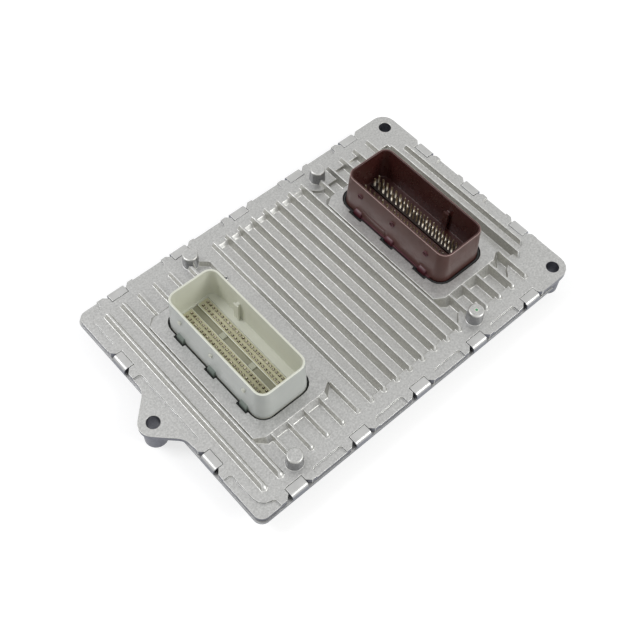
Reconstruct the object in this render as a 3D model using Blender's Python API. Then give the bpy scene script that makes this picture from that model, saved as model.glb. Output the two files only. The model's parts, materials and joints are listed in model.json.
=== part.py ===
"""Engine control unit: a finned cast cover crimped onto a pressed tray, with two pin headers and a circuit board.

Units are metres and +Z is up. The unit stands on its three boss feet, and the origin is under the middle of
its overall length and width, at their level. X runs along the long side, from the single ear towards the two
corner ears. Sizes and places below are measured from the middle of the cover plate, and one empty carries
everything from there to the origin.
"""
import math

import bmesh
import bpy

# Clearances
SEAT = 0.0003
CUT_PAST = 0.0010
EMBED = 0.0006

# Cover plate, seen from above
PLATE_LENGTH = 0.2399
PLATE_WIDTH = 0.1619
LEFT_CORNER_RADIUS = 0.0050
RIGHT_CORNER_RADIUS = 0.0090

# Levels above the boss feet
FLANGE_TOP = 0.0190
FLANGE_THICKNESS = 0.0046
FIN_HEIGHT = 0.0038
GROOVE_DEPTH = 0.0024
PAD_DEPTH = 0.0014
POST_HEIGHT = 0.0090
CAVITY_ROOF = 0.0026

# Mounting ears
HOLE_DIAMETER = 0.0080
BOSS_RADIUS = 0.0068
LEFT_EAR_OUT = 0.0071
LEFT_EAR_Y = -0.0003
LEFT_EAR_RADIUS = 0.0085
LEFT_EAR_BLEND = 0.0100
RIGHT_EAR_IN = 0.0086
LOWER_EAR_IN = 0.0081
UPPER_EAR_IN = 0.0099

# Cooling fins and short ribs
FIN_TOP = 0.0013
FIN_SLOPE = 0.0013
FIN_NOSE = 0.0009
FIN_LOWER_RUN = 0.0030
FIN_UPPER_RUN = 0.0018
FIN_LOWER_INSET = 0.0110
FIN_UPPER_INSET = 0.0104
LEFT_LINE_FIRST = -0.1070
LEFT_LINE_PITCH = 0.01106
LEFT_LINE_COUNT = 7
FIELD_FIRST = -0.03075
FIELD_PITCH = 0.00979
FIELD_COUNT = 8
RIGHT_LINE_FIRST = 0.04885
RIGHT_LINE_PITCH = 0.0111
RIGHT_LINE_COUNT = 5
OUTER_FIN_X = (0.1019, 0.10925)
OUTER_FIN_INSETS = ((0.0240, 0.0237), (0.0290, 0.0294))
RIB_HEIGHT = 0.0035

# Deep grooves between the long fins
FIELD_LOWER_INSET = 0.0160
FIELD_UPPER_INSET = 0.0139
FIELD_UPPER_RAMP = 0.0020
FIELD_LOWER_RAMP = 0.0006
OUTER_GROOVE_INSETS = (0.0300, 0.0220)

# Plateaus round the headers
PLATEAU_LOWER_RIM = 0.0077
PLATEAU_UPPER_RIM = 0.0089
PLATEAU_CORNER = 0.0065
PLATEAU_DRAFT = 0.0014

# Round posts
POST_TOP_RADIUS = 0.0046
POST_FOOT_RADIUS = 0.0052
POST_INSET = 0.0135
POST_BRANCH_INSET = 0.0211
WHITE_POST_LOWER_X = -0.08565
WHITE_POST_UPPER_X = -0.04885
BROWN_POSTS_X = 0.04975

# Crimp tabs and the recesses they fold into
TAB_WIDTH = 0.0104
TAB_LONG_FIRST = -0.0936
TAB_LONG_PITCH = 0.04475
TAB_LONG_COUNT = 5
TAB_RIGHT_FIRST = -0.0402
TAB_RIGHT_PITCH = 0.0406
TAB_RIGHT_COUNT = 3
TAB_LEFT_Y = (-0.0382, 0.04005)
TAB_REACH = 0.0043
TAB_PROUD = 0.00005
TAB_BEND_RADIUS = 0.0026
NOTCH_DEPTH = 0.0025
NOTCH_SPLAY = 0.0040
NOTCH_SLIT = 0.0006
TAB_POCKET_REACH = 0.0058

# Recessed pads along the edges
PAD_REACH = 0.0050
PAD_RADIUS = 0.0020
PAD_LENGTH = 0.0206
EAR_PAD_LENGTH = 0.0530
RIGHT_PAD_LENGTH = 0.0160
CORNER_PAD_ALONG = 0.0136
CORNER_PAD_UP = 0.0300
CORNER_PAD_CURVE = 0.0075

# Lower flat round the lower corner ear, measured from its hole
EAR_FLAT_DEPTH = 0.0004
EAR_FLAT_LEFT = 0.0148
EAR_FLAT_UP = 0.0202
EAR_FLAT_SLANT_LOW = 0.0088
EAR_FLAT_SLANT_RIGHT = 0.0015
EAR_FLAT_CURVE = 0.0060

# Base tray
SHEET = 0.0012
BASE_LIP = 0.0008
TRAY_WALL_INSET = 0.0072
TRAY_DRAFT = 0.0010
TRAY_FLOOR = 0.0015
TRAY_EDGE = 0.0015
TRAY_CORNER_RADIUS = 0.0060
EAR_CUT = 0.0195
BOSS_CLEARANCE = 0.0010

# Perimeter seal
SEAL_INSET = 0.0052
SEAL_WIDTH = 0.0022
SEAL_GROOVE_DEPTH = 0.0015

# Headers
HEADER_LENGTH = 0.0846
HEADER_WIDTH = 0.0358
HEADER_CORNER = 0.0075
HEADER_DRAFT = 0.00125
HEADER_HEIGHT = 0.0230
HEADER_WALL = 0.0013
HEADER_FLANGE = 0.0042
HEADER_FLANGE_THICKNESS = 0.0023
HEADER_SKIRT_INSET = 0.0005
HEADER_SKIRT_WALL = 0.0019
HEADER_FLOOR_HEIGHT = 0.0035
HEADER_FLOOR = 0.0020
HEADER_ROOM = 0.0005
WHITE_CENTRE = (-0.06745, 0.00175)
BROWN_CENTRE = (0.06645, 0.00215)
WHITE_SEAL_GAP = 0.0012
BROWN_SEAL_GAP = 0.0021
HEADER_SEAL_LEDGE = 0.0012
SEAL_RECESS = 0.0006
FOOT_WIDTH = 0.0060
FOOT_REACH = 0.0016
FOOT_HEIGHT = 0.0030
FOOT_OFFSETS = (0.0263, -0.0007, -0.0282)
NUB_RADIUS = 0.0019
NUB_REACH = 0.0007
NUB_HEIGHT = 0.0150
NUB_OFFSETS = (0.0270, 0.0001, -0.0274)
KEY_WIDTH = 0.0022
KEY_REACH = 0.0024
KEY_HEIGHT = 0.0150
WHITE_KEY_OFFSET = 0.0165
BROWN_KEY_OFFSET = -0.0145

# Terminals
BLOCK_OFFSET = 0.0057
BLOCK_WIDTH = 0.0066
BLOCK_END_GAP = 0.00195
BLOCK_FLANGE = 0.0009
BLOCK_FLANGE_THICKNESS = 0.0024
ROW_OFFSET = 0.00165
PIN_WIDTH = 0.0007
WHITE_BLOCK_RISE = 0.0015
WHITE_PIN_RISE = 0.0012
WHITE_PIN_PITCH = 0.0026
WHITE_PIN_MARGIN = 0.0026
BROWN_BLOCK_RISE = 0.0006
BROWN_PIN_RISE = 0.0066
BROWN_PIN_PITCH = 0.0027
BROWN_WIDE_PITCH = 0.0038
BROWN_WIDE_COUNT = 6
BROWN_PIN_MARGIN = 0.0018
BROWN_WIDE_PIN = 0.0011

# Circuit board and what it carries
BOARD_THICKNESS = 0.0016
BOARD_TOP = 0.0100
BOARD_INSET = 0.0100
SCREW_END_INSET = 0.0170
SCREW_SIDE_INSET = 0.0170
SCREW_MIDDLE_X = -0.0050
SCREW_RIGHT_INSET = 0.0200
SCREW_EAR_APART = 0.0240
SCREW_RADIUS = 0.0015
SCREW_HEAD_RADIUS = 0.0030
SCREW_HEAD_HEIGHT = 0.0018
SCREW_GRIP = 0.0045
BOARD_BOSS_RADIUS = 0.0040
CHIP_HEIGHT = 0.0026
LEAD_WIDTH = 0.0006
LEAD_REACH = 0.0012
LEAD_THICKNESS = 0.0004
PAD_SHARE = 0.8
LOGIC_X = -0.0100
LOGIC_GAP = 0.0150
PROCESSOR_Y = 0.0220
PROCESSOR_SIZE = (0.0260, 0.0260)
MEMORY_SIZE = (0.0140, 0.0100)
MEMORY_HEIGHT = 0.0016
TRANSCEIVER_SIZE = (0.0050, 0.0060)
TRANSCEIVER_HEIGHT = 0.0014
POWER_X = 0.0220
POWER_FIRST_Y = -0.0380
POWER_PITCH = 0.0260
DRIVER_SIZE = (0.0150, 0.0160)
REGULATOR_SIZE = (0.0120, 0.0110)
TALL_PART_INSET = 0.0250
CAPACITOR_FIRST_X = -0.0300
CAPACITOR_PITCH = 0.0140
CAPACITOR_RADIUS = 0.0050
CAPACITOR_HEIGHT = 0.0048
INDUCTOR_X = 0.0300
INDUCTOR_SIZE = 0.0125
CRYSTAL_SIZE = (0.0112, 0.0046, 0.0030)

# Values that follow from the sizes above
HALF_LENGTH = PLATE_LENGTH / 2
HALF_WIDTH = PLATE_WIDTH / 2
COVER_BOTTOM = FLANGE_TOP - FLANGE_THICKNESS
FIN_LEVEL = FLANGE_TOP + FIN_HEIGHT
GROOVE_LEVEL = FLANGE_TOP - GROOVE_DEPTH
PAD_LEVEL = FLANGE_TOP - PAD_DEPTH
CAVITY_LEVEL = FIN_LEVEL - CAVITY_ROOF
BASE_TOP = COVER_BOTTOM - SEAT
BOARD_BOTTOM = BOARD_TOP - BOARD_THICKNESS
LEFT_EAR = (-HALF_LENGTH - LEFT_EAR_OUT, LEFT_EAR_Y)
LOWER_EAR = (HALF_LENGTH - RIGHT_EAR_IN, LOWER_EAR_IN - HALF_WIDTH)
UPPER_EAR = (HALF_LENGTH - RIGHT_EAR_IN, HALF_WIDTH - UPPER_EAR_IN)
LEFT_LINES = [LEFT_LINE_FIRST + LEFT_LINE_PITCH * i for i in range(LEFT_LINE_COUNT)]
FIELD_LINES = [FIELD_FIRST + FIELD_PITCH * i for i in range(FIELD_COUNT)]
RIGHT_LINES = [RIGHT_LINE_FIRST + RIGHT_LINE_PITCH * i for i in range(RIGHT_LINE_COUNT)]
HEADER_TOP = FIN_LEVEL + HEADER_HEIGHT
HEADER_FLANGE_TOP = CAVITY_LEVEL - HEADER_SEAL_LEDGE - 2 * SEAT
HEADER_FLANGE_LOW = HEADER_FLANGE_TOP - HEADER_FLANGE_THICKNESS
HEADER_FOOT = BOARD_TOP + SEAT
HEADER_FLOOR_TOP = FLANGE_TOP + HEADER_FLOOR_HEIGHT
HEADER_FLOOR_LOW = HEADER_FLOOR_TOP - HEADER_FLOOR

WHITE_POST_LOWER = (WHITE_POST_LOWER_X, POST_INSET - HALF_WIDTH)
WHITE_POST_UPPER = (WHITE_POST_UPPER_X, HALF_WIDTH - POST_INSET)
BROWN_POST_LOWER = (BROWN_POSTS_X, POST_INSET - HALF_WIDTH)
BROWN_POST_UPPER = (BROWN_POSTS_X, HALF_WIDTH - POST_INSET)
PLATEAU_LOW = -HEADER_LENGTH / 2 - PLATEAU_LOWER_RIM
PLATEAU_HIGH = HEADER_LENGTH / 2 + PLATEAU_UPPER_RIM
BLOCK_LENGTH = HEADER_LENGTH - 2 * (HEADER_DRAFT + HEADER_WALL + BLOCK_END_GAP)
WHITE_PIN_COUNT = 1 + int((BLOCK_LENGTH - 2 * WHITE_PIN_MARGIN) / WHITE_PIN_PITCH)
BROWN_FINE_COUNT = 1 + int((BLOCK_LENGTH - 2 * BROWN_PIN_MARGIN - BROWN_WIDE_COUNT * BROWN_WIDE_PITCH)
                           / BROWN_PIN_PITCH)
POST_TURN_Y = HALF_WIDTH - POST_BRANCH_INSET
SCREW_LEFT_X = SCREW_END_INSET - HALF_LENGTH
SCREW_RIGHT_X = HALF_LENGTH - SCREW_RIGHT_INSET
SCREW_SIDE_Y = HALF_WIDTH - SCREW_SIDE_INSET
SCREW_PLACES = ((SCREW_LEFT_X, -SCREW_SIDE_Y), (SCREW_LEFT_X, SCREW_SIDE_Y), (SCREW_MIDDLE_X, -SCREW_SIDE_Y),
                (SCREW_MIDDLE_X, SCREW_SIDE_Y), (SCREW_RIGHT_X, LOWER_EAR[1] + SCREW_EAR_APART),
                (SCREW_RIGHT_X, UPPER_EAR[1] - SCREW_EAR_APART))

PLATE_SHIFT = (LEFT_EAR_OUT + LEFT_EAR_RADIUS - BASE_LIP - TAB_PROUD) / 2

# Colours and finishes: base colour, metallic, roughness
FINISHES = {
    "cast_aluminium": ((0.52, 0.52, 0.50), 0.9, 0.45),
    "sheet_aluminium": ((0.62, 0.62, 0.62), 0.9, 0.35),
    "white_plastic": ((0.58, 0.60, 0.52), 0.0, 0.45),
    "brown_plastic": ((0.055, 0.018, 0.016), 0.0, 0.40),
    "terminal_olive": ((0.36, 0.33, 0.17), 0.0, 0.55),
    "terminal_brown": ((0.045, 0.022, 0.016), 0.0, 0.55),
    "seal_rubber": ((0.012, 0.014, 0.014), 0.0, 0.70),
    "board_green": ((0.020, 0.110, 0.050), 0.0, 0.50),
    "chip_black": ((0.020, 0.020, 0.022), 0.0, 0.55),
    "pad_grey": ((0.34, 0.36, 0.40), 0.0, 0.80),
    "part_silver": ((0.66, 0.66, 0.66), 0.9, 0.30),
}


def clear_scene():
    """Remove every object that the opened file holds."""
    for item in list(bpy.data.objects):
        bpy.data.objects.remove(item)


def add_unit_frame():
    """The empty that places the plate's middle, with every piece and helper under it."""
    frame = bpy.data.objects.new("unit_frame", None)
    frame.location = (PLATE_SHIFT, 0, 0)
    bpy.context.scene.collection.objects.link(frame)


def finish_material(name):
    """A Principled material for one finish, made new for each object."""
    colour, metallic, roughness = FINISHES[name]
    material = bpy.data.materials.new(name)
    material.use_nodes = True
    shader = material.node_tree.nodes["Principled BSDF"]
    shader.inputs["Base Color"].default_value = (*colour, 1.0)
    shader.inputs["Metallic"].default_value = metallic
    shader.inputs["Roughness"].default_value = roughness
    return material


def arc(centre, radius, start, end, steps):
    """Points on an arc, from one angle to another in degrees."""
    points = []
    for i in range(steps + 1):
        angle = math.radians(start + (end - start) * i / steps)
        points.append((centre[0] + radius * math.cos(angle), centre[1] + radius * math.sin(angle)))
    return points


def circle(centre, radius, steps=24):
    """A closed circle as a list of points."""
    return arc(centre, radius, 0, 360 - 360 / steps, steps - 1)


def rectangle(centre, half_x, half_y):
    """A rectangle's corners, counter-clockwise."""
    signs = ((-1, -1), (1, -1), (1, 1), (-1, 1))
    return [(centre[0] + sx * half_x, centre[1] + sy * half_y) for sx, sy in signs]


def rounded(corners, radii, steps=4):
    """A counter-clockwise outline with each corner rounded by its own radius."""
    points = []
    count = len(corners)
    for i, (corner, radius) in enumerate(zip(corners, radii)):
        before = corners[i - 1]
        after = corners[(i + 1) % count]
        angle_in = math.atan2(corner[1] - before[1], corner[0] - before[0])
        angle_out = math.atan2(after[1] - corner[1], after[0] - corner[0])
        turn = (angle_out - angle_in + math.pi) % (2 * math.pi) - math.pi
        back = abs(radius * math.tan(turn / 2))
        side = math.copysign(1, turn)
        start = (corner[0] - back * math.cos(angle_in), corner[1] - back * math.sin(angle_in))
        centre = (start[0] - side * radius * math.sin(angle_in), start[1] + side * radius * math.cos(angle_in))
        first = math.degrees(angle_in) - side * 90
        points += arc(centre, radius, first, first + math.degrees(turn), steps)
    return points


def rounded_rectangle(centre, half_x, half_y, radius, steps=5):
    """A rectangle with four equal rounded corners."""
    return rounded(rectangle(centre, half_x, half_y), [radius] * 4, steps)


def grow(outline, distance):
    """Move each side of a counter-clockwise outline outwards by a distance."""
    moved = []
    count = len(outline)
    for i, point in enumerate(outline):
        before = outline[i - 1]
        after = outline[(i + 1) % count]
        first = (point[0] - before[0], point[1] - before[1])
        second = (after[0] - point[0], after[1] - point[1])
        first_length = math.hypot(*first)
        second_length = math.hypot(*second)
        normal_a = (first[1] / first_length, -first[0] / first_length)
        normal_b = (second[1] / second_length, -second[0] / second_length)
        share = 1 + normal_a[0] * normal_b[0] + normal_a[1] * normal_b[1]
        moved.append((point[0] + distance * (normal_a[0] + normal_b[0]) / share,
                      point[1] + distance * (normal_a[1] + normal_b[1]) / share))
    return moved


def level(outline, z):
    """An outline laid at one height."""
    return [(x, y, z) for x, y in outline]


def add_loft(bm, rings, closed=False):
    """Add one closed body through rings of equal length, capped at its ends unless it closes on itself."""
    loops = [[bm.verts.new(point) for point in ring] for ring in rings]
    faces = []
    pairs = list(zip(loops, loops[1:]))
    if closed:
        pairs.append((loops[-1], loops[0]))
    else:
        faces.append(bm.faces.new(loops[0][::-1]))
        faces.append(bm.faces.new(loops[-1]))
    for lower, upper in pairs:
        for i in range(len(lower)):
            j = (i + 1) % len(lower)
            faces.append(bm.faces.new((lower[i], lower[j], upper[j], upper[i])))
    bmesh.ops.recalc_face_normals(bm, faces=faces)


def add_prism(bm, outline, low, high, top_growth=0.0):
    """Add an upright prism, whose top outline may be larger or smaller."""
    add_loft(bm, [level(outline, low), level(grow(outline, top_growth) if top_growth else outline, high)])


def add_box(bm, low, high):
    """Add a box between two corners."""
    centre = ((low[0] + high[0]) / 2, (low[1] + high[1]) / 2)
    add_prism(bm, rectangle(centre, (high[0] - low[0]) / 2, (high[1] - low[1]) / 2), low[2], high[2])


def new_body(name, build, finish=None, smooth=False):
    """Make an object from a function that fills a bmesh. Without a finish it is a helper for a Boolean."""
    bm = bmesh.new()
    build(bm)
    mesh = bpy.data.meshes.new(name)
    bm.to_mesh(mesh)
    bm.free()
    body = bpy.data.objects.new(name, mesh)
    body.parent = bpy.data.objects["unit_frame"]
    bpy.context.scene.collection.objects.link(body)
    if finish:
        mesh.materials.append(finish_material(finish))
    else:
        body.hide_render = True
        body.display_type = "WIRE"
    if smooth:
        mesh.shade_smooth()
        mesh.set_sharp_from_angle(angle=math.radians(35))
    return body


def combine(body, operation, name, build):
    """Cut a helper from a body or join it on."""
    helper = new_body(name, build)
    modifier = body.modifiers.new(name, "BOOLEAN")
    modifier.operation = operation
    modifier.solver = "EXACT"
    modifier.object = helper


def cut(body, name, build):
    combine(body, "DIFFERENCE", name, build)


def join(body, name, build):
    combine(body, "UNION", name, build)


def plate_outline():
    """The cover seen from above, with its tongue-shaped left ear."""
    corners = rectangle((0, 0), HALF_LENGTH, HALF_WIDTH)
    radii = (LEFT_CORNER_RADIUS, RIGHT_CORNER_RADIUS, RIGHT_CORNER_RADIUS, LEFT_CORNER_RADIUS)
    outline = rounded(corners, radii, 5)
    diagonal = LEFT_EAR_RADIUS * math.sqrt(0.5)
    flank = LEFT_EAR_OUT + diagonal
    upper_root = LEFT_EAR_Y + diagonal + flank
    lower_root = LEFT_EAR_Y - diagonal - flank
    back = LEFT_EAR_BLEND * math.tan(math.radians(22.5))
    blend_x = -HALF_LENGTH - LEFT_EAR_BLEND
    outline += arc((blend_x, upper_root + back), LEFT_EAR_BLEND, 0, -45, 4)
    outline += arc(LEFT_EAR, LEFT_EAR_RADIUS, 135, 225, 6)
    outline += arc((blend_x, lower_root - back), LEFT_EAR_BLEND, 45, 0, 4)
    return outline


def tray_path(inset):
    """The line that the tray wall, the seal and the board follow: a rectangle cut across at the corner ears."""
    half_x = HALF_LENGTH - inset
    half_y = HALF_WIDTH - inset
    across = math.sqrt(2) * (EAR_CUT + inset * (1 - math.sqrt(2)))
    corners = [(-half_x, -half_y), (half_x - across, -half_y), (half_x, -half_y + across),
               (half_x, half_y - across), (half_x - across, half_y), (-half_x, half_y)]
    radius = max(TRAY_CORNER_RADIUS + TRAY_WALL_INSET - inset, 0.0010)
    return rounded(corners, [radius] * 6, 4)


def sweep(bm, path, section):
    """Sweep a closed section of (offset, height) points round a path function."""
    add_loft(bm, [level(path(offset), z) for offset, z in section], closed=True)


def tab_places():
    """Each tab's place on the edge: a function from (along, inset) to (x, y)."""
    places = []
    for i in range(TAB_LONG_COUNT):
        middle = TAB_LONG_FIRST + TAB_LONG_PITCH * i
        places.append(lambda a, d, m=middle: (m + a, d - HALF_WIDTH))
        places.append(lambda a, d, m=middle: (m - a, HALF_WIDTH - d))
    for i in range(TAB_RIGHT_COUNT):
        middle = TAB_RIGHT_FIRST + TAB_RIGHT_PITCH * i
        places.append(lambda a, d, m=middle: (HALF_LENGTH - d, m + a))
    for middle in TAB_LEFT_Y:
        places.append(lambda a, d, m=middle: (d - HALF_LENGTH, m - a))
    return places


def add_fin(bm, x, y_low, y_high, foot, top, lower_run=FIN_LOWER_RUN, upper_run=FIN_UPPER_RUN):
    """Add one fin with sloping sides and pointed, sloping ends."""
    half_top = FIN_TOP / 2
    half_foot = half_top + FIN_SLOPE

    def ring(half, low, high, z):
        nose = FIN_NOSE * half / half_foot
        return [(x, low, z), (x + half, low + nose, z), (x + half, high - nose, z), (x, high, z),
                (x - half, high - nose, z), (x - half, low + nose, z)]

    add_loft(bm, [ring(half_foot, y_low, y_high, foot - EMBED),
                  ring(half_foot, y_low, y_high, foot),
                  ring(half_top, y_low + lower_run, y_high - upper_run, top)])


def build_plate(bm):
    add_prism(bm, plate_outline(), COVER_BOTTOM, FLANGE_TOP)


def build_bosses(bm):
    for ear in (LEFT_EAR, LOWER_EAR, UPPER_EAR):
        add_prism(bm, circle(ear, BOSS_RADIUS, 24), 0, COVER_BOTTOM + EMBED)


def build_deep_pockets(bm):
    """The grooves between the long fins and the pockets round the brown header's plateau."""
    top = FLANGE_TOP + CUT_PAST
    low = FIELD_LOWER_INSET - HALF_WIDTH
    high = HALF_WIDTH - FIELD_UPPER_INSET
    first, last = FIELD_LINES[0], FIELD_LINES[-1]
    lead = 1 + CUT_PAST / GROOVE_DEPTH
    floor = [(first, low), (last, low), (last, high - FIELD_UPPER_RAMP), (first, high - FIELD_UPPER_RAMP)]
    mouth = [(first, low - FIELD_LOWER_RAMP * lead), (last, low - FIELD_LOWER_RAMP * lead),
             (last, high + FIELD_UPPER_RAMP * (lead - 1)), (first, high + FIELD_UPPER_RAMP * (lead - 1))]
    add_loft(bm, [level(floor, GROOVE_LEVEL), level(mouth, top)])


def build_header_pockets(bm):
    """Pockets below, above and beside the brown header's plateau, under the ends of its ribs."""
    top = FLANGE_TOP + CUT_PAST
    a, b, c, d, e = RIGHT_LINES
    left = FIELD_LINES[-1]
    low = FIELD_LOWER_INSET - HALF_WIDTH
    inside = PLATEAU_LOW + 2 * PLATEAU_CORNER
    beside_post = low + 0.0050
    lower = [(left, low + 0.0010), (left + 0.0034, low + 0.0020), (a - 0.0027, low + 0.0070), (a, low + 0.0060),
             (a, beside_post), (b, beside_post), (b, low), (d, low), (d, low + 0.0030),
             (d + 0.0040, low + 0.0050), (e - 0.0041, low + 0.0090), (e, low + 0.0110), (e, inside), (left, inside)]
    add_prism(bm, lower, GROOVE_LEVEL, top, 0.0004)
    within = PLATEAU_HIGH - 2 * PLATEAU_CORNER
    high = HALF_WIDTH - FIELD_UPPER_INSET - 0.0026
    upper = [(left, within), (d, within), (d, high), (b, high), (b, high - 0.0054), (a, high - 0.0054),
             (a, high - 0.0060), (a - 0.0027, high - 0.0064), (left + 0.0059, high - 0.0049),
             (left + 0.0034, high - 0.0024), (left, high - 0.0014)]
    add_prism(bm, upper, GROOVE_LEVEL, top, 0.0004)


def build_outer_groove(bm):
    """The deep groove between the brown header's plateau and the first outer fin."""
    low = OUTER_GROOVE_INSETS[0] - HALF_WIDTH
    high = HALF_WIDTH - OUTER_GROOVE_INSETS[1]
    left = RIGHT_LINES[-1] - PLATEAU_DRAFT
    outline = [(left, low), (OUTER_FIN_X[0], low), (OUTER_FIN_X[0], high), (left, high)]
    add_prism(bm, outline, GROOVE_LEVEL, FLANGE_TOP + CUT_PAST, 0.0004)


def build_notches(bm):
    """Splayed notches in the plate's edge, one for each crimp tab."""
    half = TAB_WIDTH / 2 + NOTCH_SLIT
    for place in tab_places():
        outline = [place(-half - NOTCH_SPLAY, -CUT_PAST), place(half + NOTCH_SPLAY, -CUT_PAST),
                   place(half, NOTCH_DEPTH), place(-half, NOTCH_DEPTH)]
        add_prism(bm, outline, COVER_BOTTOM - CUT_PAST, FLANGE_TOP + CUT_PAST)


def build_tab_pockets(bm):
    """Shallow pockets that the folded tab ends lie in."""
    half = TAB_WIDTH / 2 + NOTCH_SLIT
    for place in tab_places():
        outline = [place(-half, -CUT_PAST), place(half, -CUT_PAST),
                   place(half, TAB_POCKET_REACH), place(-half, TAB_POCKET_REACH)]
        add_prism(bm, outline, PAD_LEVEL, FLANGE_TOP + CUT_PAST)


def build_pads(bm):
    """Recessed pads along the edges, between the tabs. One of them takes in the whole of the single ear."""
    top = FLANGE_TOP + CUT_PAST

    def pad(place, middle, length, past=CUT_PAST):
        half = length / 2
        corners = [place(middle - half, -past), place(middle + half, -past),
                   place(middle + half, PAD_REACH), place(middle - half, PAD_REACH)]
        radii = (PAD_RADIUS / 4, PAD_RADIUS / 4, PAD_RADIUS, PAD_RADIUS)
        add_prism(bm, rounded(corners, radii, 3), PAD_LEVEL, top)

    for i in range(TAB_LONG_COUNT - 1):
        middle = TAB_LONG_FIRST + TAB_LONG_PITCH * (i + 0.5)
        pad(lambda a, d: (a, d - HALF_WIDTH), middle, PAD_LENGTH)
        pad(lambda a, d: (-a, HALF_WIDTH - d), -middle, PAD_LENGTH)
    for i in range(TAB_RIGHT_COUNT - 1):
        middle = TAB_RIGHT_FIRST + TAB_RIGHT_PITCH * (i + 0.5)
        pad(lambda a, d: (HALF_LENGTH - d, a), middle, RIGHT_PAD_LENGTH)
    pad(lambda a, d: (d - HALF_LENGTH, -a), -sum(TAB_LEFT_Y) / 2, EAR_PAD_LENGTH,
        LEFT_EAR_OUT + LEFT_EAR_RADIUS + CUT_PAST)
    for side in (1, -1):
        corners = [(-HALF_LENGTH - CUT_PAST, side * (HALF_WIDTH + CUT_PAST)),
                   (CORNER_PAD_ALONG - HALF_LENGTH, side * (HALF_WIDTH + CUT_PAST)),
                   (CORNER_PAD_ALONG - HALF_LENGTH, side * (HALF_WIDTH - PAD_REACH)),
                   (PAD_REACH - HALF_LENGTH, side * (HALF_WIDTH - PAD_REACH)),
                   (PAD_REACH - HALF_LENGTH, side * (HALF_WIDTH - CORNER_PAD_UP)),
                   (-HALF_LENGTH - CUT_PAST, side * (HALF_WIDTH - CORNER_PAD_UP))]
        radii = [PAD_RADIUS / 4, PAD_RADIUS / 4, PAD_RADIUS, CORNER_PAD_CURVE, PAD_RADIUS, PAD_RADIUS / 4]
        if side == 1:
            corners.reverse()
            radii.reverse()
        add_prism(bm, rounded(corners, radii, 3), PAD_LEVEL, top)


def build_ear_flat(bm):
    """The flat round the lower corner ear, a little below the flange, with a slanting upper side."""
    left = LOWER_EAR[0] - EAR_FLAT_LEFT
    right = HALF_LENGTH + CUT_PAST + PAD_RADIUS
    low = -HALF_WIDTH - CUT_PAST - PAD_RADIUS
    high = LOWER_EAR[1] + EAR_FLAT_UP
    corners = [(left, low), (right, low), (right, high), (LOWER_EAR[0] + EAR_FLAT_SLANT_RIGHT, high),
               (left, LOWER_EAR[1] + EAR_FLAT_SLANT_LOW)]
    outline = rounded(corners, [PAD_RADIUS] * 3 + [EAR_FLAT_CURVE] * 2, 4)
    add_prism(bm, outline, FLANGE_TOP - EAR_FLAT_DEPTH, FLANGE_TOP + CUT_PAST)


def plateau_outline(left, right):
    """A plateau's foot, with its corners cut across."""
    low, high, corner = PLATEAU_LOW - PLATEAU_DRAFT, PLATEAU_HIGH + PLATEAU_DRAFT, PLATEAU_CORNER
    return [(left + corner, low), (right - corner, low), (right, low + corner), (right, high - corner),
            (right - corner, high), (left + corner, high), (left, high - corner), (left, low + corner)]


def build_plateaus_and_posts(bm):
    foot = GROOVE_LEVEL - EMBED
    for left, right in ((LEFT_LINES[1], LEFT_LINES[-1]), (FIELD_LINES[-1], RIGHT_LINES[-1])):
        add_prism(bm, plateau_outline(left, right), foot, FIN_LEVEL, -PLATEAU_DRAFT)
    taper = POST_TOP_RADIUS - POST_FOOT_RADIUS
    for centre in (WHITE_POST_LOWER, WHITE_POST_UPPER, BROWN_POST_LOWER, BROWN_POST_UPPER):
        add_prism(bm, circle(centre, POST_FOOT_RADIUS, 20), foot, FLANGE_TOP + POST_HEIGHT, taper)


def build_fins(bm):
    """The long fins of the middle field and of both ends, and the short ribs below and above the plateaus."""
    low = FIN_LOWER_INSET - HALF_WIDTH
    high = HALF_WIDTH - FIN_UPPER_INSET
    rib_top = FLANGE_TOP + RIB_HEIGHT
    for x in FIELD_LINES:
        add_fin(bm, x, low, high, GROOVE_LEVEL, FIN_LEVEL)
    for x in LEFT_LINES[:2]:
        add_fin(bm, x, low, high, FLANGE_TOP, FIN_LEVEL)
    for x, (lower, upper) in zip(OUTER_FIN_X, OUTER_FIN_INSETS):
        add_fin(bm, x, lower - HALF_WIDTH, HALF_WIDTH - upper, GROOVE_LEVEL, FIN_LEVEL)
    below = PLATEAU_LOW + PLATEAU_CORNER
    above = PLATEAU_HIGH - PLATEAU_CORNER
    for lines, posts in ((LEFT_LINES[2:], (WHITE_POST_LOWER[1], POST_TURN_Y)),
                         (RIGHT_LINES, (BROWN_POST_LOWER[1], BROWN_POST_UPPER[1]))):
        for i, x in enumerate(lines):
            start = posts[0] if i == 0 else low
            add_fin(bm, x, start, below, GROOVE_LEVEL, rib_top)
    for i, x in enumerate(LEFT_LINES[2:-1]):
        end = WHITE_POST_UPPER[1] if i == LEFT_LINE_COUNT - 4 else high
        add_fin(bm, x, above, end, GROOVE_LEVEL, rib_top)
    for i, x in enumerate(RIGHT_LINES):
        add_fin(bm, x, above, BROWN_POST_UPPER[1] if i == 0 else high, GROOVE_LEVEL, rib_top)
    add_branch(bm, LEFT_LINES[-1], above, WHITE_POST_UPPER, rib_top)


def add_branch(bm, x, start, post, top):
    """Add the rib that runs up beside the white plateau and then slants across to its post."""
    half_top = FIN_TOP / 2

    def ring(half, z):
        turn = POST_TURN_Y
        return [(x - half, start, z), (x + half, start, z), (x + half, turn + half, z),
                (post[0] + half, post[1] + half, z), (post[0] - half, post[1] - half, z), (x - half, turn - half, z)]

    foot = half_top + FIN_SLOPE
    add_loft(bm, [ring(foot, GROOVE_LEVEL - EMBED), ring(foot, GROOVE_LEVEL), ring(half_top, top)])


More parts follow.
